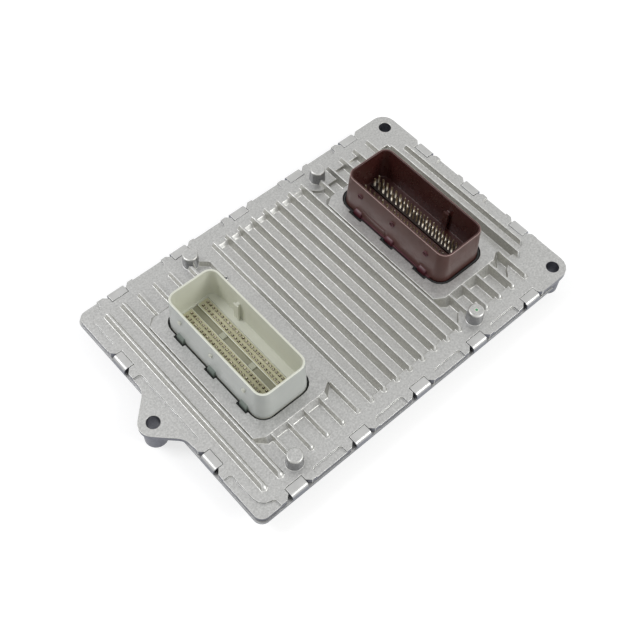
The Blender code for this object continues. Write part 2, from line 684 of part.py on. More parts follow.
def header_outline(centre, growth=0.0):
    """A header's base outline at the plateau, moved outwards by a growth."""
    return rounded_rectangle(centre, HEADER_WIDTH / 2 + growth, HEADER_LENGTH / 2 + growth, HEADER_CORNER + growth)


def add_foot_blocks(bm, centre, growth, low, high, inner=EMBED):
    """Add the three locating feet on a header's side, or the room for them."""
    wall = centre[0] - HEADER_WIDTH / 2
    half = FOOT_WIDTH / 2 + growth
    for offset in FOOT_OFFSETS:
        middle = centre[1] + offset
        add_box(bm, (wall - FOOT_REACH - growth, middle - half, low), (wall + inner, middle + half, high))


def build_header_rooms(bm):
    """Room under each plateau for the header's flange and seal."""
    for centre in (WHITE_CENTRE, BROWN_CENTRE):
        outline = header_outline(centre, HEADER_FLANGE + HEADER_ROOM)
        add_prism(bm, outline, COVER_BOTTOM - CUT_PAST, CAVITY_LEVEL)


def build_header_openings(bm):
    for centre, gap in ((WHITE_CENTRE, WHITE_SEAL_GAP), (BROWN_CENTRE, BROWN_SEAL_GAP)):
        add_prism(bm, header_outline(centre, gap), COVER_BOTTOM - CUT_PAST, FIN_LEVEL + CUT_PAST)


def build_foot_openings(bm):
    for centre, gap in ((WHITE_CENTRE, WHITE_SEAL_GAP), (BROWN_CENTRE, BROWN_SEAL_GAP)):
        add_foot_blocks(bm, centre, gap, CAVITY_LEVEL - CUT_PAST, FIN_LEVEL + CUT_PAST)


def build_bolt_holes(bm):
    for ear in (LEFT_EAR, LOWER_EAR, UPPER_EAR):
        add_prism(bm, circle(ear, HOLE_DIAMETER / 2, 20), -CUT_PAST, FLANGE_TOP + CUT_PAST)


def build_seal_groove(bm):
    half = SEAL_WIDTH / 2 + SEAT
    roof = COVER_BOTTOM + SEAL_GROOVE_DEPTH
    sweep(bm, tray_path, [(SEAL_INSET - half, COVER_BOTTOM - CUT_PAST), (SEAL_INSET + half, COVER_BOTTOM - CUT_PAST),
                          (SEAL_INSET + half, roof), (SEAL_INSET - half, roof)])


def build_board_bosses(bm):
    for place in SCREW_PLACES:
        add_prism(bm, circle(place, BOARD_BOSS_RADIUS, 12), BOARD_TOP + SEAT, COVER_BOTTOM + EMBED)


def build_screw_holes(bm):
    for place in SCREW_PLACES:
        end = BOARD_TOP + SEAT + SCREW_GRIP + SEAT
        add_prism(bm, circle(place, SCREW_RADIUS + SEAT, 10), BOARD_TOP - CUT_PAST, end)


def make_cover():
    """The cast cover: plate, ears and bosses, fins, ribs, plateaus, posts, edge recesses and its hollow underside."""
    cover = new_body("housing_cover", build_plate, "cast_aluminium")
    join(cover, "ear_bosses", build_bosses)
    cut(cover, "fin_field", build_deep_pockets)
    cut(cover, "brown_pockets", build_header_pockets)
    cut(cover, "outer_groove", build_outer_groove)
    cut(cover, "tab_notches", build_notches)
    cut(cover, "tab_pockets", build_tab_pockets)
    cut(cover, "edge_pads", build_pads)
    cut(cover, "ear_flat", build_ear_flat)
    join(cover, "plateaus_and_posts", build_plateaus_and_posts)
    join(cover, "fins_and_ribs", build_fins)
    join(cover, "board_bosses", build_board_bosses)
    cut(cover, "header_rooms", build_header_rooms)
    cut(cover, "header_openings", build_header_openings)
    cut(cover, "foot_openings", build_foot_openings)
    cut(cover, "seal_groove", build_seal_groove)
    cut(cover, "bolt_holes", build_bolt_holes)
    cut(cover, "screw_holes", build_screw_holes)


def build_base_flange(bm):
    """The tray's flange, scalloped where the corner ears' bosses pass it."""
    half_x = HALF_LENGTH + BASE_LIP
    half_y = HALF_WIDTH + BASE_LIP
    reach = BOSS_RADIUS + BOSS_CLEARANCE
    lower, upper = LOWER_EAR, UPPER_EAR
    outline = arc((LEFT_CORNER_RADIUS - half_x, LEFT_CORNER_RADIUS - half_y), LEFT_CORNER_RADIUS, 180, 270, 5)
    outline += [(lower[0] - reach, -half_y)]
    outline += arc(lower, reach, 180, 0, 12)
    outline += [(half_x, lower[1]), (half_x, upper[1])]
    outline += arc(upper, reach, 0, -180, 12)
    outline += [(upper[0] - reach, half_y)]
    outline += arc((LEFT_CORNER_RADIUS - half_x, half_y - LEFT_CORNER_RADIUS), LEFT_CORNER_RADIUS, 90, 180, 5)
    add_prism(bm, outline, BASE_TOP - SHEET, BASE_TOP)


def build_tray_outside(bm):
    low = TRAY_WALL_INSET + TRAY_DRAFT
    rings = [level(tray_path(low + TRAY_EDGE), TRAY_FLOOR), level(tray_path(low), TRAY_FLOOR + TRAY_EDGE),
             level(tray_path(TRAY_WALL_INSET), BASE_TOP - SHEET / 2)]
    add_loft(bm, rings)


def build_tray_inside(bm):
    low = TRAY_WALL_INSET + TRAY_DRAFT + SHEET
    floor = TRAY_FLOOR + SHEET
    rings = [level(tray_path(low + TRAY_EDGE), floor), level(tray_path(low), floor + TRAY_EDGE),
             level(tray_path(TRAY_WALL_INSET + SHEET), BASE_TOP + CUT_PAST)]
    add_loft(bm, rings)


def build_tabs(bm):
    """The crimp tabs: each rises from the flange's edge, bends over the cover and lies in its pocket."""
    outer = -BASE_LIP - TAB_PROUD
    inner = outer + SHEET
    top = PAD_LEVEL + SEAT + SHEET
    bend = (outer + TAB_BEND_RADIUS, top - TAB_BEND_RADIUS)
    profile = [(inner + SHEET, BASE_TOP - SHEET * 0.9), (outer, BASE_TOP - SHEET * 0.9)]
    profile += arc(bend, TAB_BEND_RADIUS, 180, 90, 5)
    profile += [(TAB_REACH, top), (TAB_REACH, top - SHEET)]
    profile += arc(bend, TAB_BEND_RADIUS - SHEET, 90, 180, 5)
    profile += [(inner, BASE_TOP - SHEET * 0.2), (inner + SHEET, BASE_TOP - SHEET * 0.2)]
    half = TAB_WIDTH / 2
    for place in tab_places():
        ends = [[(*place(side * half, inset), z) for inset, z in profile] for side in (-1, 1)]
        add_loft(bm, ends)


def make_base():
    """The pressed base tray with the crimp tabs that hold the cover."""
    def build_left_scallop(bm):
        add_prism(bm, circle(LEFT_EAR, BOSS_RADIUS + BOSS_CLEARANCE, 32), 0, BASE_TOP + CUT_PAST)

    base = new_body("base_tray", build_base_flange, "sheet_aluminium")
    cut(base, "left_scallop", build_left_scallop)
    join(base, "tray_outside", build_tray_outside)
    cut(base, "tray_inside", build_tray_inside)
    join(base, "crimp_tabs", build_tabs)


def make_perimeter_seal():
    half = SEAL_WIDTH / 2
    roof = COVER_BOTTOM + SEAL_GROOVE_DEPTH - SEAT

    def build(bm):
        sweep(bm, tray_path, [(SEAL_INSET - half, COVER_BOTTOM), (SEAL_INSET + half, COVER_BOTTOM),
                              (SEAL_INSET + half, roof), (SEAL_INSET - half, roof)])

    new_body("perimeter_seal", build, "seal_rubber")


def build_header_shell(centre):
    def build(bm):
        skirt = -HEADER_SKIRT_INSET
        rings = [level(header_outline(centre, skirt), HEADER_FOOT),
                 level(header_outline(centre, skirt), HEADER_FLANGE_LOW),
                 level(header_outline(centre, HEADER_FLANGE), HEADER_FLANGE_LOW),
                 level(header_outline(centre, HEADER_FLANGE), HEADER_FLANGE_TOP),
                 level(header_outline(centre), HEADER_FLANGE_TOP),
                 level(header_outline(centre), FIN_LEVEL),
                 level(header_outline(centre, -HEADER_DRAFT), HEADER_TOP)]
        add_loft(bm, rings)

    return build


def header_wall_x(centre, side, height):
    """Outer wall position at a height above the plateau."""
    return centre[0] + side * (HEADER_WIDTH / 2 - HEADER_DRAFT * height / HEADER_HEIGHT)


def build_header_feet(centre):
    def build(bm):
        add_foot_blocks(bm, centre, 0.0, HEADER_FLANGE_TOP - EMBED, FIN_LEVEL + FOOT_HEIGHT)

    return build


def build_header_nubs(centre):
    """Three round nubs half-way up the side that carries the feet."""
    def build(bm):
        wall = header_wall_x(centre, -1, NUB_HEIGHT)
        for offset in NUB_OFFSETS:
            rim = circle((centre[1] + offset, FIN_LEVEL + NUB_HEIGHT), NUB_RADIUS, 12)
            add_loft(bm, [[(wall + EMBED, y, z) for y, z in rim], [(wall - NUB_REACH, y, z) for y, z in rim]])

    return build


def build_header_cavity(centre):
    def build(bm):
        inner = -HEADER_DRAFT - HEADER_WALL
        rings = [level(header_outline(centre, inner - HEADER_DRAFT / 4), HEADER_FLOOR_TOP),
                 level(header_outline(centre, inner), HEADER_TOP + CUT_PAST)]
        add_loft(bm, rings)

    return build


def build_skirt_cavity(centre):
    def build(bm):
        outline = header_outline(centre, -HEADER_SKIRT_INSET - HEADER_SKIRT_WALL)
        add_prism(bm, outline, HEADER_FOOT - CUT_PAST, HEADER_FLOOR_LOW)

    return build


def build_windows(centre):
    """The two slots in a header's floor that its terminal blocks rise through."""
    def build(bm):
        for side in (-1, 1):
            middle = (centre[0] + side * BLOCK_OFFSET, centre[1])
            add_prism(bm, rectangle(middle, BLOCK_WIDTH / 2 + SEAT, BLOCK_LENGTH / 2 + SEAT),
                      HEADER_FLOOR_LOW - CUT_PAST, HEADER_FLOOR_TOP + CUT_PAST)

    return build


def build_key(centre, offset):
    """The keying rib with its cross head, on the wall away from the feet."""
    def build(bm):
        wall = centre[0] + HEADER_WIDTH / 2 - HEADER_DRAFT - HEADER_WALL
        y = centre[1] + offset
        top = HEADER_FLOOR_TOP + KEY_HEIGHT
        add_box(bm, (wall - KEY_REACH, y - KEY_WIDTH / 2, HEADER_FLOOR_TOP - EMBED), (wall + EMBED, y + KEY_WIDTH / 2, top))

    return build


def make_header(name, finish, centre, key_offset):
    """A moulded header: flange and skirt under the plateau, tall drafted shroud above it."""
    header = new_body(name, build_header_shell(centre), finish)
    join(header, name + "_feet", build_header_feet(centre))
    join(header, name + "_nubs", build_header_nubs(centre))
    cut(header, name + "_cavity", build_header_cavity(centre))
    cut(header, name + "_skirt_cavity", build_skirt_cavity(centre))
    join(header, name + "_key", build_key(centre, key_offset))
    cut(header, name + "_windows", build_windows(centre))


def make_header_seal(name, centre, gap):
    """The seal between a header and the cover: a lip in the opening and a ledge on the header's flange."""
    low = HEADER_FLANGE_TOP + SEAT
    ledge = low + HEADER_SEAL_LEDGE
    top = FIN_LEVEL - SEAL_RECESS

    def ring(offset):
        return header_outline(centre, offset)

    def build(bm):
        sweep(bm, ring, [(SEAT, low), (HEADER_FLANGE, low), (HEADER_FLANGE, ledge), (gap - SEAT, ledge),
                         (gap - SEAT, top), (SEAT, top)])

    def build_bulges(bm):
        add_foot_blocks(bm, centre, gap - SEAT, low + HEADER_SEAL_LEDGE / 2, top, -gap / 2)

    def build_foot_room(bm):
        add_foot_blocks(bm, centre, SEAT, low - CUT_PAST, top + CUT_PAST)

    seal = new_body(name, build, "seal_rubber")
    join(seal, name + "_bulges", build_bulges)
    cut(seal, name + "_foot_room", build_foot_room)


def white_columns(centre):
    """Pin places along the white header, with the pin width of each."""
    half = WHITE_PIN_PITCH * (WHITE_PIN_COUNT - 1) / 2
    return [(centre[1] - half + WHITE_PIN_PITCH * i, PIN_WIDTH) for i in range(WHITE_PIN_COUNT)]


def brown_columns(centre):
    """Pin places along the brown header: fine pins, then the wider power pins at the upper end."""
    places = [(BROWN_PIN_PITCH * i, PIN_WIDTH) for i in range(BROWN_FINE_COUNT)]
    start = places[-1][0] + BROWN_WIDE_PITCH
    places += [(start + BROWN_WIDE_PITCH * i, BROWN_WIDE_PIN) for i in range(BROWN_WIDE_COUNT)]
    half = places[-1][0] / 2
    return [(centre[1] - half + along, width) for along, width in places]


def make_terminal_block(name, finish, middle, columns, block_rise, pin_rise):
    """One insulating block that stands on the board and carries two rows of pins up into the shroud."""
    flange_top = HEADER_FLOOR_LOW - SEAT
    block_top = HEADER_FLOOR_TOP + block_rise

    def build(bm):
        half_x = BLOCK_WIDTH / 2
        half_y = BLOCK_LENGTH / 2
        wide = rectangle(middle, half_x + BLOCK_FLANGE, half_y + BLOCK_FLANGE)
        slim = rectangle(middle, half_x, half_y)
        low = flange_top - BLOCK_FLANGE_THICKNESS
        add_loft(bm, [level(slim, BOARD_TOP + SEAT), level(slim, low), level(wide, low), level(wide, flange_top),
                      level(slim, flange_top), level(slim, block_top)])

    def build_pins(bm):
        for y, width in columns:
            for side in (-1, 1):
                x = middle[0] + side * ROW_OFFSET
                add_box(bm, (x - PIN_WIDTH / 2, y - width / 2, block_top - EMBED),
                        (x + PIN_WIDTH / 2, y + width / 2, block_top + pin_rise))

    block = new_body(name, build, finish)
    join(block, name + "_pins", build_pins)


def make_terminals():
    for side, place in ((-1, "front"), (1, "rear")):
        middle = (WHITE_CENTRE[0] + side * BLOCK_OFFSET, WHITE_CENTRE[1])
        make_terminal_block("white_terminals_" + place, "terminal_olive", middle, white_columns(WHITE_CENTRE),
                            WHITE_BLOCK_RISE, WHITE_PIN_RISE)
        middle = (BROWN_CENTRE[0] + side * BLOCK_OFFSET, BROWN_CENTRE[1])
        make_terminal_block("brown_terminals_" + place, "terminal_brown", middle, brown_columns(BROWN_CENTRE),
                            BROWN_BLOCK_RISE, BROWN_PIN_RISE)


def make_board():
    """The circuit board, drilled for its screws."""
    def build(bm):
        add_prism(bm, tray_path(BOARD_INSET), BOARD_BOTTOM, BOARD_TOP)

    def build_holes(bm):
        for place in SCREW_PLACES:
            add_prism(bm, circle(place, SCREW_RADIUS + SEAT, 10), BOARD_BOTTOM - CUT_PAST, BOARD_TOP + CUT_PAST)

    board = new_body("circuit_board", build, "board_green")
    cut(board, "board_holes", build_holes)


def make_screws():
    """Pan-head screws that hold the board to the cover's bosses from below."""
    for i, place in enumerate(SCREW_PLACES):
        def build(bm, place=place):
            head_top = BOARD_BOTTOM - SEAT
            rings = [(SCREW_HEAD_RADIUS * 0.7, head_top - SCREW_HEAD_HEIGHT),
                     (SCREW_HEAD_RADIUS, head_top - SCREW_HEAD_HEIGHT / 2), (SCREW_HEAD_RADIUS, head_top),
                     (SCREW_RADIUS, head_top), (SCREW_RADIUS, BOARD_TOP + SEAT + SCREW_GRIP)]
            add_loft(bm, [level(circle(place, radius, 10), z) for radius, z in rings])

        new_body("board_screw_%d" % (i + 1), build, "part_silver", smooth=True)


def make_chip(name, centre, size, leads, height=CHIP_HEIGHT):
    """A moulded chip on top of the board, with leads along two sides, or none if its contacts are under it."""
    low = BOARD_TOP + SEAT
    top = low + height
    half_x, half_y = size[0] / 2, size[1] / 2
    chamfer = height * 0.25

    def build(bm):
        middle = low + height * 0.5
        rings = [level(rectangle(centre, half_x - chamfer, half_y - chamfer), low + LEAD_THICKNESS / 2),
                 level(rectangle(centre, half_x, half_y), middle),
                 level(rectangle(centre, half_x - chamfer, half_y - chamfer), top)]
        add_loft(bm, rings)

    def build_leads(bm):
        pitch = size[1] / leads
        for side in (-1, 1):
            inner = centre[0] + side * (half_x - chamfer - LEAD_REACH / 2)
            outer = centre[0] + side * (half_x + LEAD_REACH)
            for i in range(leads):
                y = centre[1] - half_y + pitch * (i + 0.5)
                add_box(bm, (min(inner, outer), y - LEAD_WIDTH / 2, low),
                        (max(inner, outer), y + LEAD_WIDTH / 2, low + 2 * LEAD_THICKNESS))

    chip = new_body(name, build, "chip_black")
    if leads:
        join(chip, name + "_leads", build_leads)
    return top


def make_thermal_pad(name, centre, size, chip_top):
    """The soft pad that carries a chip's heat to the cover."""
    def build(bm):
        add_prism(bm, rectangle(centre, size[0] / 2, size[1] / 2), chip_top + SEAT, COVER_BOTTOM - SEAT)

    new_body(name, build, "pad_grey")


def make_electronics():
    """Chips under the fins with their thermal pads, and tall parts on the board's underside."""
    hot_chips = [("main_processor", (LOGIC_X, PROCESSOR_Y), PROCESSOR_SIZE, 0)]
    for i, name in enumerate(("injector_driver_1", "injector_driver_2", "ignition_driver")):
        hot_chips.append((name, (POWER_X, POWER_FIRST_Y + POWER_PITCH * i), DRIVER_SIZE, 5))
    hot_chips.append(("voltage_regulator", (POWER_X, POWER_FIRST_Y + POWER_PITCH * 3), REGULATOR_SIZE, 3))
    for name, centre, size, leads in hot_chips:
        top = make_chip(name, centre, size, leads)
        make_thermal_pad("thermal_pad_" + name, centre, (size[0] * PAD_SHARE, size[1] * PAD_SHARE), top)
    memory_y = PROCESSOR_Y - PROCESSOR_SIZE[1] / 2 - LOGIC_GAP - MEMORY_SIZE[1] / 2
    transceiver_y = memory_y - MEMORY_SIZE[1] / 2 - LOGIC_GAP - TRANSCEIVER_SIZE[1] / 2
    make_chip("memory_chip", (LOGIC_X, memory_y), MEMORY_SIZE, 4, MEMORY_HEIGHT)
    make_chip("bus_transceiver", (LOGIC_X, transceiver_y), TRANSCEIVER_SIZE, 3, TRANSCEIVER_HEIGHT)
    below = BOARD_BOTTOM - SEAT
    tall_y = HALF_WIDTH - TALL_PART_INSET
    for i in range(3):
        def build(bm, centre=(CAPACITOR_FIRST_X - CAPACITOR_PITCH * i, tall_y)):
            add_prism(bm, circle(centre, CAPACITOR_RADIUS, 20), below - CAPACITOR_HEIGHT, below)

        new_body("bulk_capacitor_%d" % (i + 1), build, "part_silver", smooth=True)

    def build_inductor(bm):
        half = INDUCTOR_SIZE / 2
        add_prism(bm, rounded_rectangle((INDUCTOR_X, tall_y), half, half, half / 2, 3), below - CAPACITOR_HEIGHT, below)

    def build_crystal(bm):
        length, width, height = CRYSTAL_SIZE
        outline = rounded_rectangle((LOGIC_X, memory_y), length / 2, width / 2, width / 2 - EMBED, 4)
        add_prism(bm, outline, below - height, below)

    new_body("power_inductor", build_inductor, "chip_black", smooth=True)
    new_body("clock_crystal", build_crystal, "part_silver", smooth=True)


def main():
    clear_scene()
    add_unit_frame()
    make_cover()
    make_base()
    make_perimeter_seal()
    make_header("white_header", "white_plastic", WHITE_CENTRE, WHITE_KEY_OFFSET)
    make_header("brown_header", "brown_plastic", BROWN_CENTRE, BROWN_KEY_OFFSET)
    make_header_seal("white_header_seal", WHITE_CENTRE, WHITE_SEAL_GAP)
    make_header_seal("brown_header_seal", BROWN_CENTRE, BROWN_SEAL_GAP)
    make_terminals()
    make_board()
    make_screws()
    make_electronics()


main()
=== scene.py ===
"""Looks of the engine control unit: its camera, studio, finishes and detailed pieces.

Metres and +Z up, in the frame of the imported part. Each casting, pressing and moulding that shows is a finer
copy of its solid with rounded edges. The small parts in and on the headers are new pieces.
"""
import json
import math

import bpy
from mathutils import Matrix, Vector


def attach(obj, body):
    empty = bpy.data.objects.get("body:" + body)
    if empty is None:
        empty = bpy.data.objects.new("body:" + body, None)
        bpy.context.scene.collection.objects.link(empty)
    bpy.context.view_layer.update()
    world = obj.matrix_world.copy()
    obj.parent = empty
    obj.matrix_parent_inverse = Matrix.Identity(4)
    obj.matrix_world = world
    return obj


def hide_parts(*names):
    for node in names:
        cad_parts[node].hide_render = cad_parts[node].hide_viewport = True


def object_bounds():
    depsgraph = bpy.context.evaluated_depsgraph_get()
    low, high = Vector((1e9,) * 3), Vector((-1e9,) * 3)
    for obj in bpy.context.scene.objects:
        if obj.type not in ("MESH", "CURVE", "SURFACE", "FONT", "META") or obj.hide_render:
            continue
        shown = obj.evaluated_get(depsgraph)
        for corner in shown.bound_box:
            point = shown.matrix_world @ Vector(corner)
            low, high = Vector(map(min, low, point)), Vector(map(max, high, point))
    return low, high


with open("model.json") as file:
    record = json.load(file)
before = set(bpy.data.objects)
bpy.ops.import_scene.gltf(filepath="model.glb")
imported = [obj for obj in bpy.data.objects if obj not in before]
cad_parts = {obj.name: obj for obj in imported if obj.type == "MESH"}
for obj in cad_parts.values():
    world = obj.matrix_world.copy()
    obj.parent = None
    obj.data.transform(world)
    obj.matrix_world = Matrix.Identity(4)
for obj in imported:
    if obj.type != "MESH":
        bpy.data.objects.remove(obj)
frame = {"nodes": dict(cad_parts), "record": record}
cad_low, cad_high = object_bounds()

# Camera, recovered from the straight edges of the plate and of both shrouds
CAMERA_PLACE = (-0.220944, -0.227099, 0.504031)
CAMERA_RIGHT = (0.74668229, -0.66458777, 0.02808295)
CAMERA_DOWN = (-0.55365325, -0.64433621, -0.52754046)
CAMERA_AHEAD = (0.36869180, 0.37835690, -0.84906561)
CAMERA_LENS = 56.680084
SENSOR_WIDTH = 36.0

# Studio
FLOOR_HALF = 9.0
FLOOR_TONE = 0.45
FLOOR_GLOW = 0.66
AMBIENT = 0.53
BACK_PLACE = (-1.05, 1.05, 1.90)
BACK_SIZE = 0.9
BACK_POWER = 19.0
BACK_COLOUR = (0.97, 0.97, 1.0)
RIGHT_PLACE = (0.95, -1.64, 1.48)
RIGHT_SIZE = 1.1
RIGHT_POWER = 22.0
RIGHT_COLOUR = (1.0, 1.0, 0.98)

# How near a point has to be to count as on a level, on a wall or in a group
HAIR = 0.0001
TOUCH = 0.0002
NEAR = 0.0003

# Merging of the copies and rounding of their edges
MERGE = 0.00002
CASTING_MERGE = 0.00024
WIDEST_ROUNDING = 0.0012
CASTING_FILLET = 0.00036
NARROW_FILLET = 0.00012
NARROW_BAND = 0.0020
FIN_TOP_FILLET = 0.00022
FIN_TOP_BAND = 0.0006
PAD_FILLET = 0.00020
PAD_WIDTH = 0.0100
PAD_END = 0.0950
POST_FILLET = 0.00085
SHEET_FILLET = 0.00025
MOULDING_FILLET = 0.00035
FOOT_FILLET = 0.0010
NUB_FILLET = 0.00015
KEY_FILLET = 0.0002
INSERT_FILLET = 0.00022
CHANNEL_FILLET = 0.0001
WHITE_FACE_FILLET = 0.00040
BROWN_FACE_FILLET = 0.00030
SEAL_FILLET = 0.00030
RAIL_FILLET = 0.00035
PANEL_FILLET = 0.00030
ROUNDING_STEPS = 2
SHORTEST_EDGE = 0.0008
SHARP_ANGLE = 25.0
SMOOTH_ANGLE = 40.0
FLAT_ANGLE = 2.0

# Levels and places repeated from the part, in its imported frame
FLANGE_TOP = 0.0190
FIN_LEVEL = 0.0228
PAD_LEVEL = 0.0176
EAR_FLAT_RISE = 0.0004
EAR_FLAT_START = 0.1020
EAR_FLAT_HIGH = -0.0440
POCKET_FLOOR = 0.0166
POST_TOP = 0.0280
SOCKET_FLOOR = 0.0225
HEADER_TOP = 0.0458
HEADER_WIDTH = 0.0358
HEADER_DRAFT = 0.00125
WHITE_CENTRE = (-0.060075, 0.00175)
BROWN_CENTRE = (0.073825, 0.00215)
PLATEAU_SPANS = ((-0.0896, -0.0322), (0.0441, 0.1017))
PLATEAU_ENDS = (-0.0514, 0.0526)
PLATEAU_CUT = 0.0065
PLATEAU_EASE = 0.0026
MARKED_POST = (0.057125, -0.06745)
PLATE_EDGES = (-0.112575, 0.127325, -0.08095, 0.08095)
TAB_REACH = 0.0043
TAB_GROWTH = 0.0013
TAB_WIDENING = 0.00035
TAB_FOOT = 0.0149
TAB_BAND = 0.0065
TAB_SPACING = 0.0115

# How far new pieces stand in what carries them, and how far a cut goes past what it cuts
SEATING = 0.0002
CUT_PAST = 0.002

# The shrouds' outsides, rims and feet
OUTWARD_REACH = 0.002
SHROUD_SKIRT = 0.001
RIM_TILTS = (0.2, 0.97)
FOOT_TOP = 0.0258
LOWERED_FOOT = 0.0249

# The round nubs on the shrouds
NUB_LEVEL = 0.0378
NUB_OFFSETS = (0.0270, 0.0001, -0.0274)
NUB_RADIUS = 0.0019
NUB_ROOT = 0.0006
NUB_RING = 0.00065
NUB_HOLLOW = 0.0008
NUB_SHRINK = 0.35
NUB_GROWTH = 0.0003

# The keys in the sockets
KEY_OFFSETS = {"white": 0.0165, "brown": -0.0145}
KEY_END = 0.01295
KEY_HEAD = (0.0011, 0.0040)
KEY_TOP = 0.0375
KEY_SINK = 0.0005

# The contact blocks
BLOCK_OFFSET = 0.0057
BLOCK_HALF_LENGTH = 0.0381
BLOCK_FACE_RISE = 0.00005
WHITE_BLOCK_HALF = 0.0038
WHITE_BLOCK_TOP = 0.0240
BROWN_BLOCK_HALF = 0.0033
BROWN_BLOCK_TOP = 0.0231

# The floor plate of the white socket, its windows, bridges and channel
SOCKET_HALF_WIDTH = 0.0153
SOCKET_HALF_LENGTH = 0.0397
SOCKET_CORNER = 0.0048
INSERT_TOP = 0.0238
WINDOW_GAP = 0.00015
BRIDGE_HALF = 0.0019
BRIDGE_OFFSET = 0.0127
BRIDGE_REACH = 0.02
CHANNEL_OVERLAP = 0.0005
CHANNEL_LEVELS = (-0.0003, 0.0002)

# The collars round the white header's pins
ROW_OFFSET = 0.00165
WHITE_PITCH = 0.0026
WHITE_COLUMNS = 28
COLLAR_SIZE = 0.0021
COLLAR_RISE = 0.00028
COLLAR_RIM = 0.00028
COLLAR_FLOOR = 0.00006

# The rail and the panel on the brown shroud
RAIL_REACH = 0.0011
RAIL_DEPTH = 0.0006
RAIL_ENDS = (-0.0345, 0.0300)
RAIL_SINK = 0.0010
RAIL_TOP = 0.0231
PANEL_REACH = 0.0002
PANEL_DEPTH = 0.0011
PANEL_ENDS = (0.0040, 0.0240)
PANEL_TOP = 0.0280

# The mark on one post
MARK_RADIUS = 0.0012
MARK_DEPTH = 0.0002
MARK_RING = 0.0004
MARK_CORE = 0.0004


def clear_selection():
    """Deselect every object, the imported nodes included."""
    bpy.ops.object.select_all(action="DESELECT")


def activate(piece):
    """Select one piece alone and make it the active one."""
    clear_selection()
    piece.select_set(True)
    bpy.context.view_layer.objects.active = piece


def stand_in(node, name, merge=MERGE, whole_faces=True):
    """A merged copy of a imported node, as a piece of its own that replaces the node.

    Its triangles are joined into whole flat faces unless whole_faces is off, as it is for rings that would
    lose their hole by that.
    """
    piece = bpy.data.objects.new(name, frame["nodes"][node].data.copy())
    bpy.context.scene.collection.objects.link(piece)
    piece.data.materials.clear()
    activate(piece)
    bpy.ops.object.mode_set(mode="EDIT")
    bpy.ops.mesh.select_all(action="SELECT")
    bpy.ops.mesh.remove_doubles(threshold=merge)
    if whole_faces:
        bpy.ops.mesh.dissolve_limited(angle_limit=math.radians(FLAT_ANGLE))
    bpy.ops.object.mode_set(mode="OBJECT")
    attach(piece, "root")
    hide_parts(node)
    return piece


def edge_faces(mesh):
    """For each edge, the faces that share it."""
    sharing = {edge.index: [] for edge in mesh.edges}
    index = {edge.key: edge.index for edge in mesh.edges}
    for face in mesh.polygons:
        for key in face.edge_keys:
            sharing[index[key]].append(face)
    return sharing


def round_edges(piece, width_of, edge_finish=-1):
    """Round the sharp edges, each to the width that a rule gives for its middle and direction."""
    mesh = piece.data
    sharing = edge_faces(mesh)
    weights = mesh.attributes.new("bevel_weight_edge", "FLOAT", "EDGE")
    for edge in mesh.edges:
        first, last = (mesh.vertices[i].co for i in edge.vertices)
        faces = sharing[edge.index]
        if len(faces) != 2 or (last - first).length < SHORTEST_EDGE:
            continue
        if faces[0].normal.angle(faces[1].normal, 0.0) < math.radians(SHARP_ANGLE):
            continue
        width = width_of((first + last) / 2, (last - first).normalized())
        weights.data[edge.index].value = width / WIDEST_ROUNDING
    activate(piece)
    bevel = piece.modifiers.new("rounding", "BEVEL")
    bevel.width = WIDEST_ROUNDING
    bevel.segments = ROUNDING_STEPS
    bevel.limit_method = "WEIGHT"
    bevel.use_clamp_overlap = False
    bevel.material = edge_finish
    bpy.ops.object.modifier_apply(modifier="rounding")
    smooth_faces(piece)


def evenly(width):
    """A rule that rounds every edge to one width."""
    return lambda place, direction: width


def smooth_faces(piece):
    """Shade the roundings smoothly and keep the large faces flat."""
    activate(piece)
    bpy.ops.object.shade_smooth_by_angle(angle=math.radians(SMOOTH_ANGLE))
    weighted = piece.modifiers.new("flat_faces", "WEIGHTED_NORMAL")
    weighted.keep_sharp = True
    weighted.weight = 100
    bpy.ops.object.modifier_apply(modifier="flat_faces")


def new_box(name, low, high, finish):
    """A box between two corners, as the start of a new piece."""
    clear_selection()
    middle = [(a + b) / 2 for a, b in zip(low, high)]
    size = [b - a for a, b in zip(low, high)]
    bpy.ops.mesh.primitive_cube_add(size=1.0, location=middle)
    piece = bpy.context.object
    piece.name = name
    piece.scale = size
    bpy.ops.object.transform_apply(location=True, rotation=True, scale=True)
    piece.data.materials.append(finish)
    return piece


def pick(piece, kind, rule):
    """In edit mode, select the faces or edges whose middle and direction fit a rule."""
    activate(piece)
    bpy.ops.object.mode_set(mode="EDIT")
    bpy.ops.mesh.select_mode(type=kind)
    bpy.ops.mesh.select_all(action="DESELECT")
    bpy.ops.object.mode_set(mode="OBJECT")
    mesh = piece.data
    if kind == "FACE":
        for face in mesh.polygons:
            face.select = rule(face.center, face.normal)
    else:
        for edge in mesh.edges:
            first, last = (mesh.vertices[i].co for i in edge.vertices)
            edge.select = rule((first + last) / 2, (last - first).normalized())
    bpy.ops.object.mode_set(mode="EDIT")


def add_to_object(piece):
    """Make a new piece part of the object."""
    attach(piece, "root")


def cut_out(piece, low, high):
    """Cut a box out of a piece."""
    cutter = new_box("cutter", low, high, None)
    activate(piece)
    cut = piece.modifiers.new("cut", "BOOLEAN")
    cut.operation = "DIFFERENCE"
    cut.solver = "EXACT"
    cut.object = cutter
    bpy.ops.object.modifier_apply(modifier="cut")
    bpy.data.objects.remove(cutter)


def paint_faces(piece, finish, rule):
    """Give the faces that fit a rule a finish of their own."""
    piece.data.materials.append(finish)
    last = len(piece.data.materials) - 1
    for face in piece.data.polygons:
        if rule(face.center, face.normal):
            face.material_index = last


